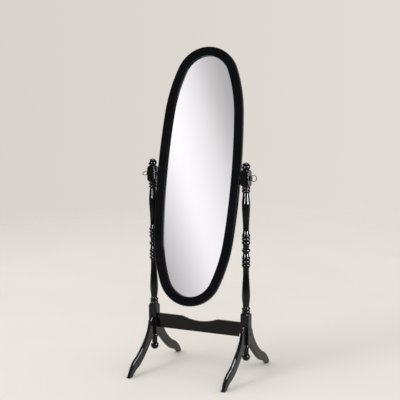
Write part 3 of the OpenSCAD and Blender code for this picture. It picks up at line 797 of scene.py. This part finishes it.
# %% [markdown]
# ## The stretcher
# A board on edge joins the posts. Its upper edge runs level from each post and then sinks into a
# wide shallow dip, with a convex bend at each end of it. Three arcs that share their tangents draw
# that line exactly. Two bolts come through the posts into barrel nuts, which sit in holes in the
# board's back.

# %% Draw the stretcher
STRETCHER_L, STRETCHER_T, STRETCHER_R, STRETCHER_Z, STRETCHER_H = 435, 18, 2, 186, 66
DIP_LEN, DIP_DEPTH, DIP_BEND_R = 196, 17.5, 45
HALF_L, HALF_DIP = STRETCHER_L / 2, DIP_LEN / 2
stretcher_top = STRETCHER_Z + STRETCHER_H
dip_angle = 2 * math.atan(2 * DIP_DEPTH / DIP_LEN)
dip_r = HALF_DIP / math.sin(dip_angle) - DIP_BEND_R
bend_z = stretcher_top - DIP_BEND_R


def arc(cx, cy, r, start, end, steps):
    """Points on an arc. An angle of QUARTER is its top."""
    return [Vector((cx + r * math.cos(start + (end - start) * i / steps),
                    cy + r * math.sin(start + (end - start) * i / steps)))
            for i in range(steps + 1)]


upper = [Vector((-HALF_L - OVERRUN, stretcher_top))]
upper += arc(-HALF_DIP, bend_z, DIP_BEND_R, QUARTER, QUARTER - dip_angle, 12)
upper += arc(0, stretcher_top - DIP_DEPTH + dip_r, dip_r,
             -QUARTER - dip_angle, -QUARTER + dip_angle, 36)[1:]
upper += arc(HALF_DIP, bend_z, DIP_BEND_R, QUARTER + dip_angle, QUARTER, 12)[1:]
upper += [Vector((HALF_L + OVERRUN, stretcher_top))]
lower = [Vector((p.x, STRETCHER_Z)) for p in upper]
print("dip radius:", round(dip_r, 1), "points on the edge:", len(upper))

# %% Saw and bore the stretcher
NUT_X, NUT_BORE, NUT_HOLE_START = 187.5, 5.05, -6
BOLT_HOLE_END, DOWEL_HOLE_END = 178.5, 197.5


def stretcher_edge(p):
    return clamp((STRETCHER_T / 2 - abs(p.y)) / STRETCHER_R)


stretcher = mesh_piece("dipped_stretcher", [rounded_board(lower, upper, STRETCHER_T, STRETCHER_R)],
                       about("X", QUARTER))
for side, _ in SIDES:
    trim(stretcher, (side * HALF_L, 0, 0), (side, 0, 0))
for side, _ in SIDES:
    post = side * POST_X
    combine(stretcher, [rod("x", side * BOLT_HOLE_END, post, BOLT_BORE, z=BOLT_Z),
                        rod("x", side * DOWEL_HOLE_END, post, DOWEL_BORE, z=STRETCHER_DOWEL_Z)])
    combine(stretcher, [rod("y", NUT_HOLE_START, HALF_BLOCK, NUT_BORE, x=side * NUT_X, z=BOLT_Z)])
mark_edges(stretcher, stretcher_edge)
finish_piece(stretcher, stretcher_lacquer_darkened_for_shade, "lacquered_board", "stand", "stretcher")

# %% [markdown]
# ## The oval frame
# The oval isn't an ellipse. Its long sides are nearly straight, its tips are round, and a third
# radius leads from one to the other, which is how an oval is set out with a trammel. The moulding
# is swept along those arcs. Its outer front edge is rounded generously and the sight edge less,
# and a rebate at the back takes the glass. A curve object with a bevel profile would also do the
# sweep, but it twists and can't keep the rebate square.

# %% Set out the oval
OVAL_W, OVAL_H, SHOULDER_R = 420, 1194, 700
SIDE_A, TIP_A = math.radians(4.7), math.radians(22.4)


def toward(angle):
    return Vector((math.cos(angle), math.sin(angle)))


side_dir, tip_dir = toward(SIDE_A), toward(TIP_A)
across = SHOULDER_R * (side_dir.x - tip_dir.x) - OVAL_W / 2
along = SHOULDER_R * (side_dir.y - tip_dir.y) + OVAL_H / 2
closing = (side_dir.x - 1) * (1 - tip_dir.y) + tip_dir.x * side_dir.y
SIDE_R = (across * (1 - tip_dir.y) + tip_dir.x * along) / closing
TIP_R = ((side_dir.x - 1) * along - side_dir.y * across) / closing
side_c = Vector((OVAL_W / 2 - SIDE_R, 0))
shoulder_c = side_c + (SIDE_R - SHOULDER_R) * side_dir
tip_c = Vector((0, OVAL_H / 2 - TIP_R))


def oval_stations():
    """(centre, radius, direction) for each place round the oval, anticlockwise from the right."""
    quarter = [(side_c, SIDE_R, SIDE_A * i / 20) for i in range(20)]
    quarter += [(shoulder_c, SHOULDER_R, SIDE_A + (TIP_A - SIDE_A) * i / 20) for i in range(20)]
    quarter += [(tip_c, TIP_R, TIP_A + (QUARTER - TIP_A) * i / 36) for i in range(37)]
    right = [(c, r, toward(a)) for c, r, a in quarter]
    top = right + [(Vector((-c.x, c.y)), r, Vector((-d.x, d.y))) for c, r, d in right[-2:0:-1]]
    top += [(Vector((-side_c.x, 0)), SIDE_R, Vector((-1, 0)))]
    return top + [(Vector((c.x, -c.y)), r, Vector((d.x, -d.y))) for c, r, d in top[-2:0:-1]]


stations = oval_stations()
print("oval radii:", round(SIDE_R), SHOULDER_R, round(TIP_R, 1), "stations:", len(stations))

# %% Sweep the moulding
FACE_W, FRAME_T = 43, 18
HALF_T = FRAME_T / 2
OUTER_R, SIGHT_R, BACK_R, REBATE = 6, 3, 2, 9
GLASS_T, CUSHION_T, BOARD_T = 3, 3, 3
GLASS_FACE = GLASS_T + CUSHION_T - HALF_T
LEAN = 12
on_mirror = at(0, 0, TILT_Z) @ about("X", math.radians(90 - LEAN))

moulding = arc(SIGHT_R - FACE_W, HALF_T - SIGHT_R, SIGHT_R, math.pi, QUARTER, 8)
moulding += [Vector((SIGHT_R - FACE_W + FLAT_ROW, HALF_T)), Vector((-OUTER_R - FLAT_ROW, HALF_T))]
moulding += arc(-OUTER_R, HALF_T - OUTER_R, OUTER_R, QUARTER, 0, 12)
moulding += [Vector((0, HALF_T - OUTER_R - FLAT_ROW)), Vector((0, BACK_R + FLAT_ROW - HALF_T))]
moulding += arc(-BACK_R, BACK_R - HALF_T, BACK_R, 0, -QUARTER, 5)
moulding += [Vector((-BACK_R - FLAT_ROW, -HALF_T)), Vector((REBATE - FACE_W, -HALF_T)),
             Vector((REBATE - FACE_W, GLASS_FACE)), Vector((-FACE_W, GLASS_FACE))]
rings = [[Vector((*(c + (r + p.x) * d), p.y)) for p in moulding] for c, r, d in stations]
oval_frame = mesh_piece("moulded_oval_frame", [skin(rings, loop=True)], on_mirror)
print("profile points:", len(moulding))

# %% Bore the frame and hang it
SCREW_INSET, PILOT_R, PILOT_DEPTH = 24, 1.55, 9
INSERT_SUNK, INSERT_DEPTH, INSERT_BORE = 0.05, 15, 5.05
INSERT_END = OVAL_W / 2 - INSERT_SUNK
EDGE_FALL, BACK_EDGE = 4, 0.3
spots = [c + (r - SCREW_INSET) * toward(a) for c, r, a in
         ((side_c, SIDE_R, SIDE_A / 2), (shoulder_c, SHOULDER_R, (SIDE_A + TIP_A) / 2),
          (tip_c, TIP_R, QUARTER / 2))]
screw_spots = [(sx * p.x, sy * p.y) for sx in (-1, 1) for sy in (-1, 1) for p in spots]


def pilots(bottom, top):
    """A rod for each backing screw, as parts for cutting."""
    pilot = skin(turned([(0, bottom), (PILOT_R, bottom), (PILOT_R, top), (0, top)], 24))
    return [moved(pilot, at(x, y, 0)) for x, y in screw_spots]


def frame_edge(p):
    """How rounded the moulding is at this point: the front's two rounded edges."""
    q = on_mirror.inverted() @ p
    return clamp((HALF_T - q.z) / EDGE_FALL) if q.z > 0 else BACK_EDGE


combine(oval_frame, [rod("x", side * (INSERT_END - INSERT_DEPTH), side * OVAL_W, INSERT_BORE)
                     for side, _ in SIDES], place=on_mirror)
combine(oval_frame, pilots(-HALF_T - LAP, -HALF_T + PILOT_DEPTH), place=on_mirror)
mark_edges(oval_frame, frame_edge)
finish_piece(oval_frame, frame_lacquer, "lacquered_frame", "mirror", "mirror_frame")

# %% [markdown]
# ## Glass and back
# The glass is a 3 mm sheet cut to the same oval, with its arris taken off so that it doesn't cut
# the glazier. Behind it lie a felt sheet and a hardboard back, held by twelve small pan head screws.
# The back is seen whenever the mirror is swung over, so its screws get their cross recesses.

# %% Cut the sheets
GLASS_PLAY = 0.5
GLASS_MARGIN, BACK_MARGIN = FACE_W - REBATE + GLASS_PLAY, 14
GLASS_ARRIS, BACK_ARRIS = 0.4, 0.5


def oval_sheet(name, margin, bottom, thick, arris):
    """A sheet of the oval's shape, its edge this far inside the frame's edge."""
    levels = ((arris, bottom), (0, bottom + arris), (0, bottom + thick - arris),
              (arris, bottom + thick))
    return mesh_piece(name, [skin([[Vector((*(c + (r - margin - d) * n), z)) for c, r, n in stations]
                                   for d, z in levels])], on_mirror)


glass = oval_sheet("silvered_oval", GLASS_MARGIN, GLASS_FACE - GLASS_T, GLASS_T, GLASS_ARRIS)
finish_piece(glass, glass_silver, "silvered_glass", "mirror", "mirror_glass", sharp=20)
back = oval_sheet("hardboard_back", BACK_MARGIN, -HALF_T - BOARD_T, BOARD_T, BACK_ARRIS)
combine(back, pilots(-HALF_T - BOARD_T - LAP, -HALF_T + LAP), place=on_mirror)
finish_piece(back, hardboard, "hardboard", "mirror", "backing_board", sharp=20)

# %% Turn the backing screws
PAN_HEAD = [(0, -1.6), (1.4, -1.57), (2.3, -1.38), (3.05, -0.96), (3.42, -0.45), (3.5, -0.15),
            (3.45, 0)]
SCREW_SHANK = [(1.5, 0), (1.5, 8.6), (0.9, 10.0), (0, 11)]
BLADE_L, BLADE_TIP, BLADE_HALF_W, BLADE_TOP, BLADE_BOTTOM = 1.75, 0.55, 0.36, -2.2, -0.75
SCREW_TURN = 0.65
blade = tapered_box((BLADE_L * BLADE_TIP, BLADE_HALF_W, BLADE_BOTTOM),
                    (BLADE_L, BLADE_HALF_W, BLADE_TOP))
model = mesh_piece("screw_model", [skin(turned(PAN_HEAD + SCREW_SHANK, 32))])
for quarter in (0, 1):
    combine(model, [moved(blade, about("Z", quarter * QUARTER))])
model_part = ([v.co / MM for v in model.data.vertices],
              [tuple(f.vertices) for f in model.data.polygons])
bpy.data.objects.remove(model)
copies = [moved(model_part, at(x, y, -HALF_T - BOARD_T)
                @ about("Z", SCREW_TURN * i)) for i, (x, y) in enumerate(screw_spots)]
backing = mesh_piece("cross_head_screws", copies, on_mirror)
finish_piece(backing, zinc, "zinc_steel", "mirror", "backing_screws", sharp=32)

# %% [markdown]
# ## The pivots
# A ring-headed screw passes through each post into a threaded insert in the frame's edge. Between
# post and frame sits a plastic spacer, and outside the post a black washer. Tightening the ring
# squeezes them all and holds the mirror at any lean. The ring is a closed loop of wire welded to
# the end of the shank, and a plastic collar is moulded over the weld. So the screw is one skin
# here, and the collar is cut with the screw's own shape, a little larger: straight along the shank
# and bent along the wire.

# %% Spacers and washers on the tilt axis
SNUG = 0.3
WASHER_X, WASHER_T, WASHER_R, WASHER_EASE = POST_X + HALF_BLOCK + SNUG, 1.5, 12, 0.3
SPACER_R, SPACER_EASE, LOOSE_BORE, MID_ROUND = 10, 0.8, 3.3, 0.3


def outward(side, z=TILT_Z):
    """Lays a turned part along X at a height, its own heights counted from the middle outwards."""
    return at(0, 0, z) @ about("Y", side * QUARTER)


def tube(outer, start, end, ease):
    """The cross-section of a loose-bored tube with eased rims."""
    inner, mid = LOOSE_BORE, ease * MID_ROUND
    return [(inner + ease / 2, start), (outer - ease, start), (outer - mid, start + mid),
            (outer, start + ease), (outer, end - ease), (outer - mid, end - mid),
            (outer - ease, end), (inner + ease / 2, end), (inner, end - ease / 2),
            (inner, start + ease / 2)]


spacer_tube = tube(SPACER_R, OVAL_W / 2, POST_X - HALF_BLOCK - SNUG, SPACER_EASE)
washer_tube = tube(WASHER_R, WASHER_X, WASHER_X + WASHER_T, WASHER_EASE)
for side, word in SIDES:
    spacer, washer = (moved(skin(turned(profile, 64), loop=True), outward(side))
                      for profile in (spacer_tube, washer_tube))
    finish_piece(mesh_piece(word + "_nylon_spacer", [spacer]), plastic, "dark_plastic",
                 "mirror", word + "_spacer")
    finish_piece(mesh_piece(word + "_plain_washer", [washer]), black_steel, "blackened_steel",
                 word + "_loose_washer", word + "_washer")

# %% Shapes of the ring screws and collars
RING_R, WIRE_R = 13.5, 2
SHANK_R, SHANK_END_EASE, SHANK_IN_INSERT = 3, 0.5, 13
SHANK_START, THREAD_END = INSERT_END - SHANK_IN_INSERT, 236
PITCH, THREAD_DEPTH, ROWS_PER_TURN, STEPS = 1, 0.5, 8, 24
FADE_IN, FADE_OUT, FIRST_DEPTH = 1.5, 2, 0.4
COLLAR_X, COLLAR_L, COLLAR_R, FOOT_EASE, TOP_EASE = WASHER_X + WASHER_T, 6, 11, 1, 2
COLLAR_FOOT, COLLAR_OFF_WASHER, COLLAR_GAP = 0.8, 0.04, 0.05
RING_X = COLLAR_X + COLLAR_FOOT + WIRE_R + RING_R
WELD_X = RING_X - RING_R
collar_profile = [(COLLAR_R - FOOT_EASE, COLLAR_X + COLLAR_OFF_WASHER)]
collar_profile += arc(COLLAR_R - FOOT_EASE, COLLAR_X + FOOT_EASE, FOOT_EASE, -QUARTER, 0, 5)[1:]
collar_profile += arc(COLLAR_R - TOP_EASE, COLLAR_X + COLLAR_L - TOP_EASE, TOP_EASE, 0, QUARTER, 8)


def threaded_shank():
    """A shank whose inner end carries a real thread, which fades out at both ends."""
    rings = [[Vector((0, 0, SHANK_START))]]
    rows = int((THREAD_END - SHANK_START) / PITCH * ROWS_PER_TURN)
    for k in range(rows + 1):
        z = SHANK_START + (THREAD_END - SHANK_START) * k / rows
        fade = min(1, (THREAD_END - z) / FADE_OUT, (z - SHANK_START) / FADE_IN + FIRST_DEPTH)
        crest = SHANK_R - (SHANK_END_EASE if k == 0 else 0)
        ring = []
        for i in range(STEPS):
            groove = abs(2 * ((z / PITCH - i / STEPS) % 1) - 1)
            r = crest - THREAD_DEPTH * fade * groove
            ring.append(polar(r, 2 * math.pi * i / STEPS, z))
        rings.append(ring)
    rings += turned([(SHANK_R, THREAD_END + PITCH / 2), (SHANK_R, WELD_X), (0, WELD_X)], STEPS)
    return skin(rings)


def ring_of_wire(wire_r, side):
    rings = []
    for i in range(4 * STEPS):
        a = 2 * math.pi * i / (4 * STEPS)
        out = Vector((math.cos(a), 0, math.sin(a)))
        rings.append([out * (RING_R + wire_r * math.cos(b))
                      + Vector((side * RING_X, wire_r * math.sin(b), 0))
                      for b in (2 * math.pi * k / STEPS for k in range(STEPS))])
    return skin(rings, loop=True)


print("a ring's middle is", round(RING_X - POST_X, 1), "mm outside its post's axis")

# %% Ring screws and their collars
RING_LEAN = {"left": math.radians(57), "right": 0}
for side, word in SIDES:
    place = at(0, 0, TILT_Z) @ about("X", -RING_LEAN[word])
    lay = about("Y", side * QUARTER)
    screw = mesh_piece(word + "_ring_headed_screw", [moved(threaded_shank(), lay)], place)
    combine(screw, [ring_of_wire(WIRE_R, side)], "UNION", place)
    finish_piece(screw, nickel, "nickel", word + "_screw", word + "_ring_screw", sharp=45)
    collar = mesh_piece(word + "_moulded_collar", [moved(skin(turned(collar_profile, 64)), lay)], place)
    combine(collar, [rod("x", side * (COLLAR_X - LAP), side * WELD_X, SHANK_R + COLLAR_GAP)],
            place=place)
    combine(collar, [ring_of_wire(WIRE_R + COLLAR_GAP, side)], place=place)
    finish_piece(collar, plastic, "dark_plastic", word + "_screw", word + "_collar")

# %% [markdown]
# ## Bolts, nuts and glides
# These are the fastenings of the stand. The bolts are black socket heads, down in their
# counterbores, and the barrel nuts show a slotted end at the back of the stretcher. The slot lets
# a screwdriver hold the nut while the bolt finds it. The glides are nailed under the toes.
# A flat end that is cut into later is left as one face: a fan of triangles there would meet the
# cut's own corners, and the cut could leave a sliver open.

# %% Stretcher bolts
SEAT_X = POST_X + HALF_BLOCK - COUNTERBORE
BOLT = [(0, -70), (2.4, -70), (3, -69.4), (3, 0), (4.9, 0), (5, 0.1), (5, 5.3), (4.8, 5.8), (4.3, 6)]
SOCKET_R, SOCKET_FLOOR, SOCKET_OPEN = 2.885, 3, 8
bolt_part = skin(turned([(r, SEAT_X + out) for r, out in BOLT]))
hexagon = skin(turned([(SOCKET_R, SEAT_X + out) for out in (SOCKET_FLOOR, SOCKET_OPEN)], 6))
bolts = mesh_piece("socket_bolts", [moved(bolt_part, outward(side, BOLT_Z)) for side, _ in SIDES])
for side, _ in SIDES:
    combine(bolts, [hexagon], place=outward(side, BOLT_Z))
finish_piece(bolts, black_steel, "blackened_steel", "stand", "stretcher_bolts")

# %% Barrel nuts
BARREL = [(0, -5), (4.6, -5), (5, -4.6), (5, 8.5), (4.5, 9)]
SLOT_HALF_L, SLOT_HALF_DEPTH, SLOT_Y, SLOT_HALF_W = 8, 1.7, 9.3, 0.7
BARREL_BORE, BARREL_OUT = 3.05, 10
barrel = skin(turned(BARREL))
nut_places = [at(side * NUT_X, 0, BOLT_Z) for side, _ in SIDES]
nuts = mesh_piece("slotted_barrel_nuts", [moved(barrel, place @ LAY["y"]) for place in nut_places])
slot = tapered_box(*((SLOT_HALF_L, SLOT_HALF_DEPTH, z) for z in (-SLOT_HALF_W, SLOT_HALF_W)))
for place in nut_places:
    combine(nuts, [slot], place=place @ at(0, SLOT_Y, 0))
    combine(nuts, [rod("x", -BARREL_OUT, BARREL_OUT, BARREL_BORE)], place=place)
finish_piece(nuts, zinc, "zinc_steel", "stand", "barrel_nuts")

# %% Glides under the toes
GLIDE_Y = 245
GLIDE = [(0, 0), (6.6, 0), (7.3, 0.2), (7.8, 0.6), (8, 1.1), (8, 2.3), (7.8, GLIDE_H), (1, GLIDE_H),
         (1, 11.5), (0, 12)]
for side, word in SIDES:
    for front, end in ENDS:
        place = at(side * POST_X, front * GLIDE_Y, 0)
        glide = mesh_piece(f"{end}_{word}_toe_glide", [skin(turned(GLIDE))], place)
        finish_piece(glide, plastic, "dark_plastic", "stand", f"{end}_{word}_glide")

# %% [markdown]
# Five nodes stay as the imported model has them, because they are hidden inside the wood or between
# the sheets: the dowels, the inserts and the felt. They still get their real finish.

# %% Finish the parts that stay
KEPT = {"leg_dowels": bare_wood, "stretcher_dowels": bare_wood, "glass_cushion": felt,
        "left_insert": zinc, "right_insert": zinc}
for node, material in KEPT.items():
    slots = frame["nodes"][node].data.materials
    if len(slots):
        slots[0] = material
    else:
        slots.append(material)
    print("kept:", node, "in", material.name)

# %% [markdown]
# ## The room
# Black gloss shows nothing but the room, so the room is half of the picture. To the camera the
# world is a plain pale wall. Gloss sees another one: it is as bright as the wall only towards the
# back right, and dim elsewhere, as a photographer's studio is. The light that falls on the object
# is a third one, even and soft. The three are told apart by the kind of ray that asks.

# %% World
WALL = (0.715, 0.680, 0.630, 1)
SOFT_LIGHT, SOFT_STRENGTH = (1.0, 0.985, 0.965, 1), 0.96
BRIGHT_WAY = (0.4, 0.92, 0)
scene = bpy.context.scene
scene.view_settings.view_transform = "Standard"
world = bpy.data.worlds.new("studio")
scene.world = world
world.use_nodes = True
direction = add_node(world, "TexCoord").outputs["Generated"]
sideways = add_node(world, "SeparateXYZ", Vector=direction).outputs["X"]
wall = world.node_tree.nodes["Background"]
plug(world, wall, Color=WALL, Strength=spread(world, sideways, 0.96, 1.045, -0.58, -0.30))
toward_bright = add_node(world, "VectorMath", {"operation": "DOT_PRODUCT"})
join(world, direction, toward_bright.inputs[0])
join(world, BRIGHT_WAY, toward_bright.inputs[1])
depth = spread(world, toward_bright.outputs["Value"], 0.22, 1.0, 0.42, 0.95)
mirrored = add_node(world, "Background", Color=WALL, Strength=depth)
even = add_node(world, "Background", Color=SOFT_LIGHT, Strength=SOFT_STRENGTH)
rays = add_node(world, "LightPath").outputs
seen = calculate(world, "MAXIMUM", rays["Is Camera Ray"], rays["Is Transmission Ray"])
on_object = mix_shaders(world, rays["Is Glossy Ray"], even.outputs[0], mirrored.outputs[0])
plug(world, world.node_tree.nodes["World Output"],
     Surface=mix_shaders(world, seen, on_object, wall.outputs[0]))
print("world: wall colour", WALL[:3])

# %% [markdown]
# The floor is a pale disc. It could be a large square, but then its far edge would cut the picture
# with a horizon. So it thins out with distance, from a place behind the mirror, which lets it fade
# sooner in front.

# %% Floor
FLOOR_R, FADE_FROM, FADE_TO, FADE_PLACE = 6000, 2.4, 4.6, (0, 1, 0)
FLOOR_DROP = 0.0004
floor_rows = [(FLOOR_R * (k / 12), 0) for k in range(13)]
floor = mesh_piece("floor", [skin(turned(floor_rows, 96), caps=False)])
pale, pale_shader = new_material("pale_floor")
spot = add_node(pale, "TexCoord").outputs["Object"]
floor_tone = spread(pale, noise(pale, spot, scale=1.3), 0, 1)
plug(pale, pale_shader, Roughness=0.55, Specular_IOR_Level=0.1,
     Base_Color=blend_colours(pale, floor_tone, (0.795, 0.765, 0.725, 1), (0.825, 0.800, 0.765, 1)))
away = add_node(pale, "VectorMath", {"operation": "DISTANCE"}, Vector=spot)
join(pale, FADE_PLACE, away.inputs[1])
fade = spread(pale, away.outputs["Value"], 0, 1, FADE_FROM, FADE_TO)
clear = add_node(pale, "BsdfTransparent").outputs[0]
plug(pale, pale.node_tree.nodes["Material Output"],
     Surface=mix_shaders(pale, fade, pale_shader.outputs[0], clear))
floor.data.materials.append(pale)
floor.location.z = -FLOOR_DROP
print("floor radius", FLOOR_R, "mm, fading at", FADE_FROM, "to", FADE_TO, "m from", FADE_PLACE)

# %% [markdown]
# ## The lamps
# One big soft lamp high at the front left lights the object and lays a soft shadow to the right.
# The marks in the gloss come from other lamps, and each one can be told by where it lands. Two
# narrow windows give every bead and ball of the posts its pair of bright spots. A lamp on the left
# and one overhead draw the line that runs down the legs' upper edges, and a dimmer pair does the
# same for the posts. A faint veil in front and a dim lamp behind on the right grey the faces of
# all the wood that turn towards them. These lamps are for reflections only: their diffuse light is
# switched off, and each one is given the pieces that may show it. So they can be bright enough for
# black gloss, which sends back only a fiftieth of what falls on it, without bleaching the floor or
# the nickel.

# %% Soft key lamp and softboxes
def light_only(lamp, pieces):
    """Links a lamp, or a glowing object, to the pieces that it may light."""
    lit = bpy.data.collections.new(lamp.name + "_lights")
    for piece in pieces:
        lit.objects.link(piece)
    lamp.light_linking.receiver_collection = lit


def softbox(name, place, aim, width, height, brightness, colour, pieces):
    """A lamp for reflections in some pieces, or with no pieces a lamp that lights them all.

    Its power follows from how bright its face looks.
    """
    data = bpy.data.lights.new(name, "AREA")
    data.shape = "RECTANGLE"
    data.size, data.size_y = width, height
    data.energy = brightness * math.pi * width * height
    data.color = colour
    lamp = bpy.data.objects.new(name, data)
    scene.collection.objects.link(lamp)
    lamp.location = place
    lamp.rotation_euler = (Vector(aim) - Vector(place)).to_track_quat("-Z", "Y").to_euler()
    lamp.visible_camera = False
    if pieces:
        lamp.visible_diffuse = False
        light_only(lamp, pieces)
    else:
        lamp.visible_glossy = False
    print(f"{name}: {width} x {height} m, {data.energy:.0f} W, reflected by {len(pieces)} pieces")


def pieces_called(*starts):
    return [o for o in scene.objects if o.name.startswith(starts)]


WARM, COOL, SKY, LATE = (1, 0.985, 0.96), (0.90, 0.94, 1), (0.80, 0.85, 1), (1, 0.98, 0.95)
posts, legs = pieces_called("turned_post"), pieces_called("sabre_leg")
all_wood = posts + legs + pieces_called("dipped_stretcher") + pieces_called("moulded_oval_frame")
softbox("key", (-3.3, -4.5, 5.9), (0, 0, 0.7), 2.9, 2.9, 4.0, WARM, [])
softbox("right_window", (3.2, -0.55, 1.02), (0.24, -0.55, 1.02), 0.50, 1.20, 150, COOL, posts)
softbox("front_window", (-0.45, -3.3, 1.10), (0.1, 0, 1.10), 0.45, 1.16, 125, COOL, posts)
softbox("front_veil", (1.9, -2.4, 1.35), (0.1, 0, 1.0), 2.2, 0.7, 2.5, COOL, all_wood)
softbox("left_window_for_legs", (-2.4, -1.35, 1.4), (0, -1.35, 1.4), 2.4, 1.8, 42, SKY, legs)
softbox("left_window_for_posts", (-2.4, 0, 1.6), (0, 0, 1.6), 1.6, 1.4, 18, SKY, posts)
softbox("overhead_for_legs", (-0.38, 0.35, 2.9), (-0.38, 0.35, 0), 1.15, 2.2, 30, SKY, legs)
softbox("overhead_for_posts", (0, 0.45, 3.0), (0, 0.45, 0), 2.4, 1.0, 13, SKY, posts)
softbox("behind_right", (1.7, 2.9, 0.95), (0.24, 0, 0.8), 1.4, 1.1, 0.7, LATE, all_wood)

# %% [markdown]
# ## What the mirror sees
# In the photograph the glass shows no room at all, only a soft band of light that crosses it from
# the upper left to the lower right and falls off to grey. That is a lit reflector card beside the
# camera. It is built here as a card with a bright band, hidden from the camera, and its light
# reaches the glass alone. So the black frame, which lies in the same plane, stays black.

# %% Place the reflector card
CARD_PLACE = Vector((-1.14824, -2.23173, 1.59214))
HALF_CARD, CARD_T = (560, 960), 4
card_normal = Vector((0.44016, 0.85978, -0.25891)).normalized()
across_band = Vector((0.83776, -0.28947, 0.46300)).normalized()
along_band = card_normal.cross(across_band)
card_turn = Matrix((across_band, along_band, card_normal)).transposed().to_4x4()
card = mesh_piece("reflector_card", [tapered_box((*HALF_CARD, 0), (*HALF_CARD, -CARD_T))])
card.matrix_world = Matrix.Translation(CARD_PLACE) @ card_turn
for ray in ("camera", "diffuse", "transmission", "volume_scatter", "shadow"):
    setattr(card, "visible_" + ray, False)
light_only(card, [glass])
print("card at", [round(c, 2) for c in CARD_PLACE], "half sizes", HALF_CARD)

# %% Light the card
PEAK, ROSE = 1.06, (1.01, 1, 1.007)
STOPS = ((0.0, 0.335), (0.04, 0.44), (0.11, 0.565), (0.18, 0.685), (0.25, 0.80), (0.32, 0.935),
         (0.38, 1.02), (0.43, 1.045), (0.485, 1.01), (0.55, 0.945), (0.62, 0.87), (0.68, 0.785),
         (0.735, 0.68), (0.79, 0.57), (0.87, 0.46), (1.0, 0.345))
lit_card, card_shader = new_material("lit_card")
lit_card.node_tree.nodes.remove(card_shader)
on_card = add_node(lit_card, "SeparateXYZ", Vector=add_node(lit_card, "TexCoord").outputs["Object"])
ramp = add_node(lit_card, "ValToRGB", Fac=spread(lit_card, on_card.outputs["X"], 0, 1, -0.50, 0.50))
ramp.color_ramp.interpolation = "B_SPLINE"
band = ramp.color_ramp.elements
for i, (at, brightness) in enumerate(STOPS):
    stop = band[i] if i < 2 else band.new(at)
    stop.position = at
    stop.color = (*(tint * (brightness / PEAK) for tint in ROSE), 1)
fall = spread(lit_card, on_card.outputs["Y"], 1.145, 0.955, -0.8, 0.8)
glow = add_node(lit_card, "Emission", Color=ramp.outputs["Color"], Strength=fall)
plug(lit_card, lit_card.node_tree.nodes["Material Output"], Surface=glow.outputs[0])
card.data.materials.append(lit_card)
print("stops in the band:", len(band))
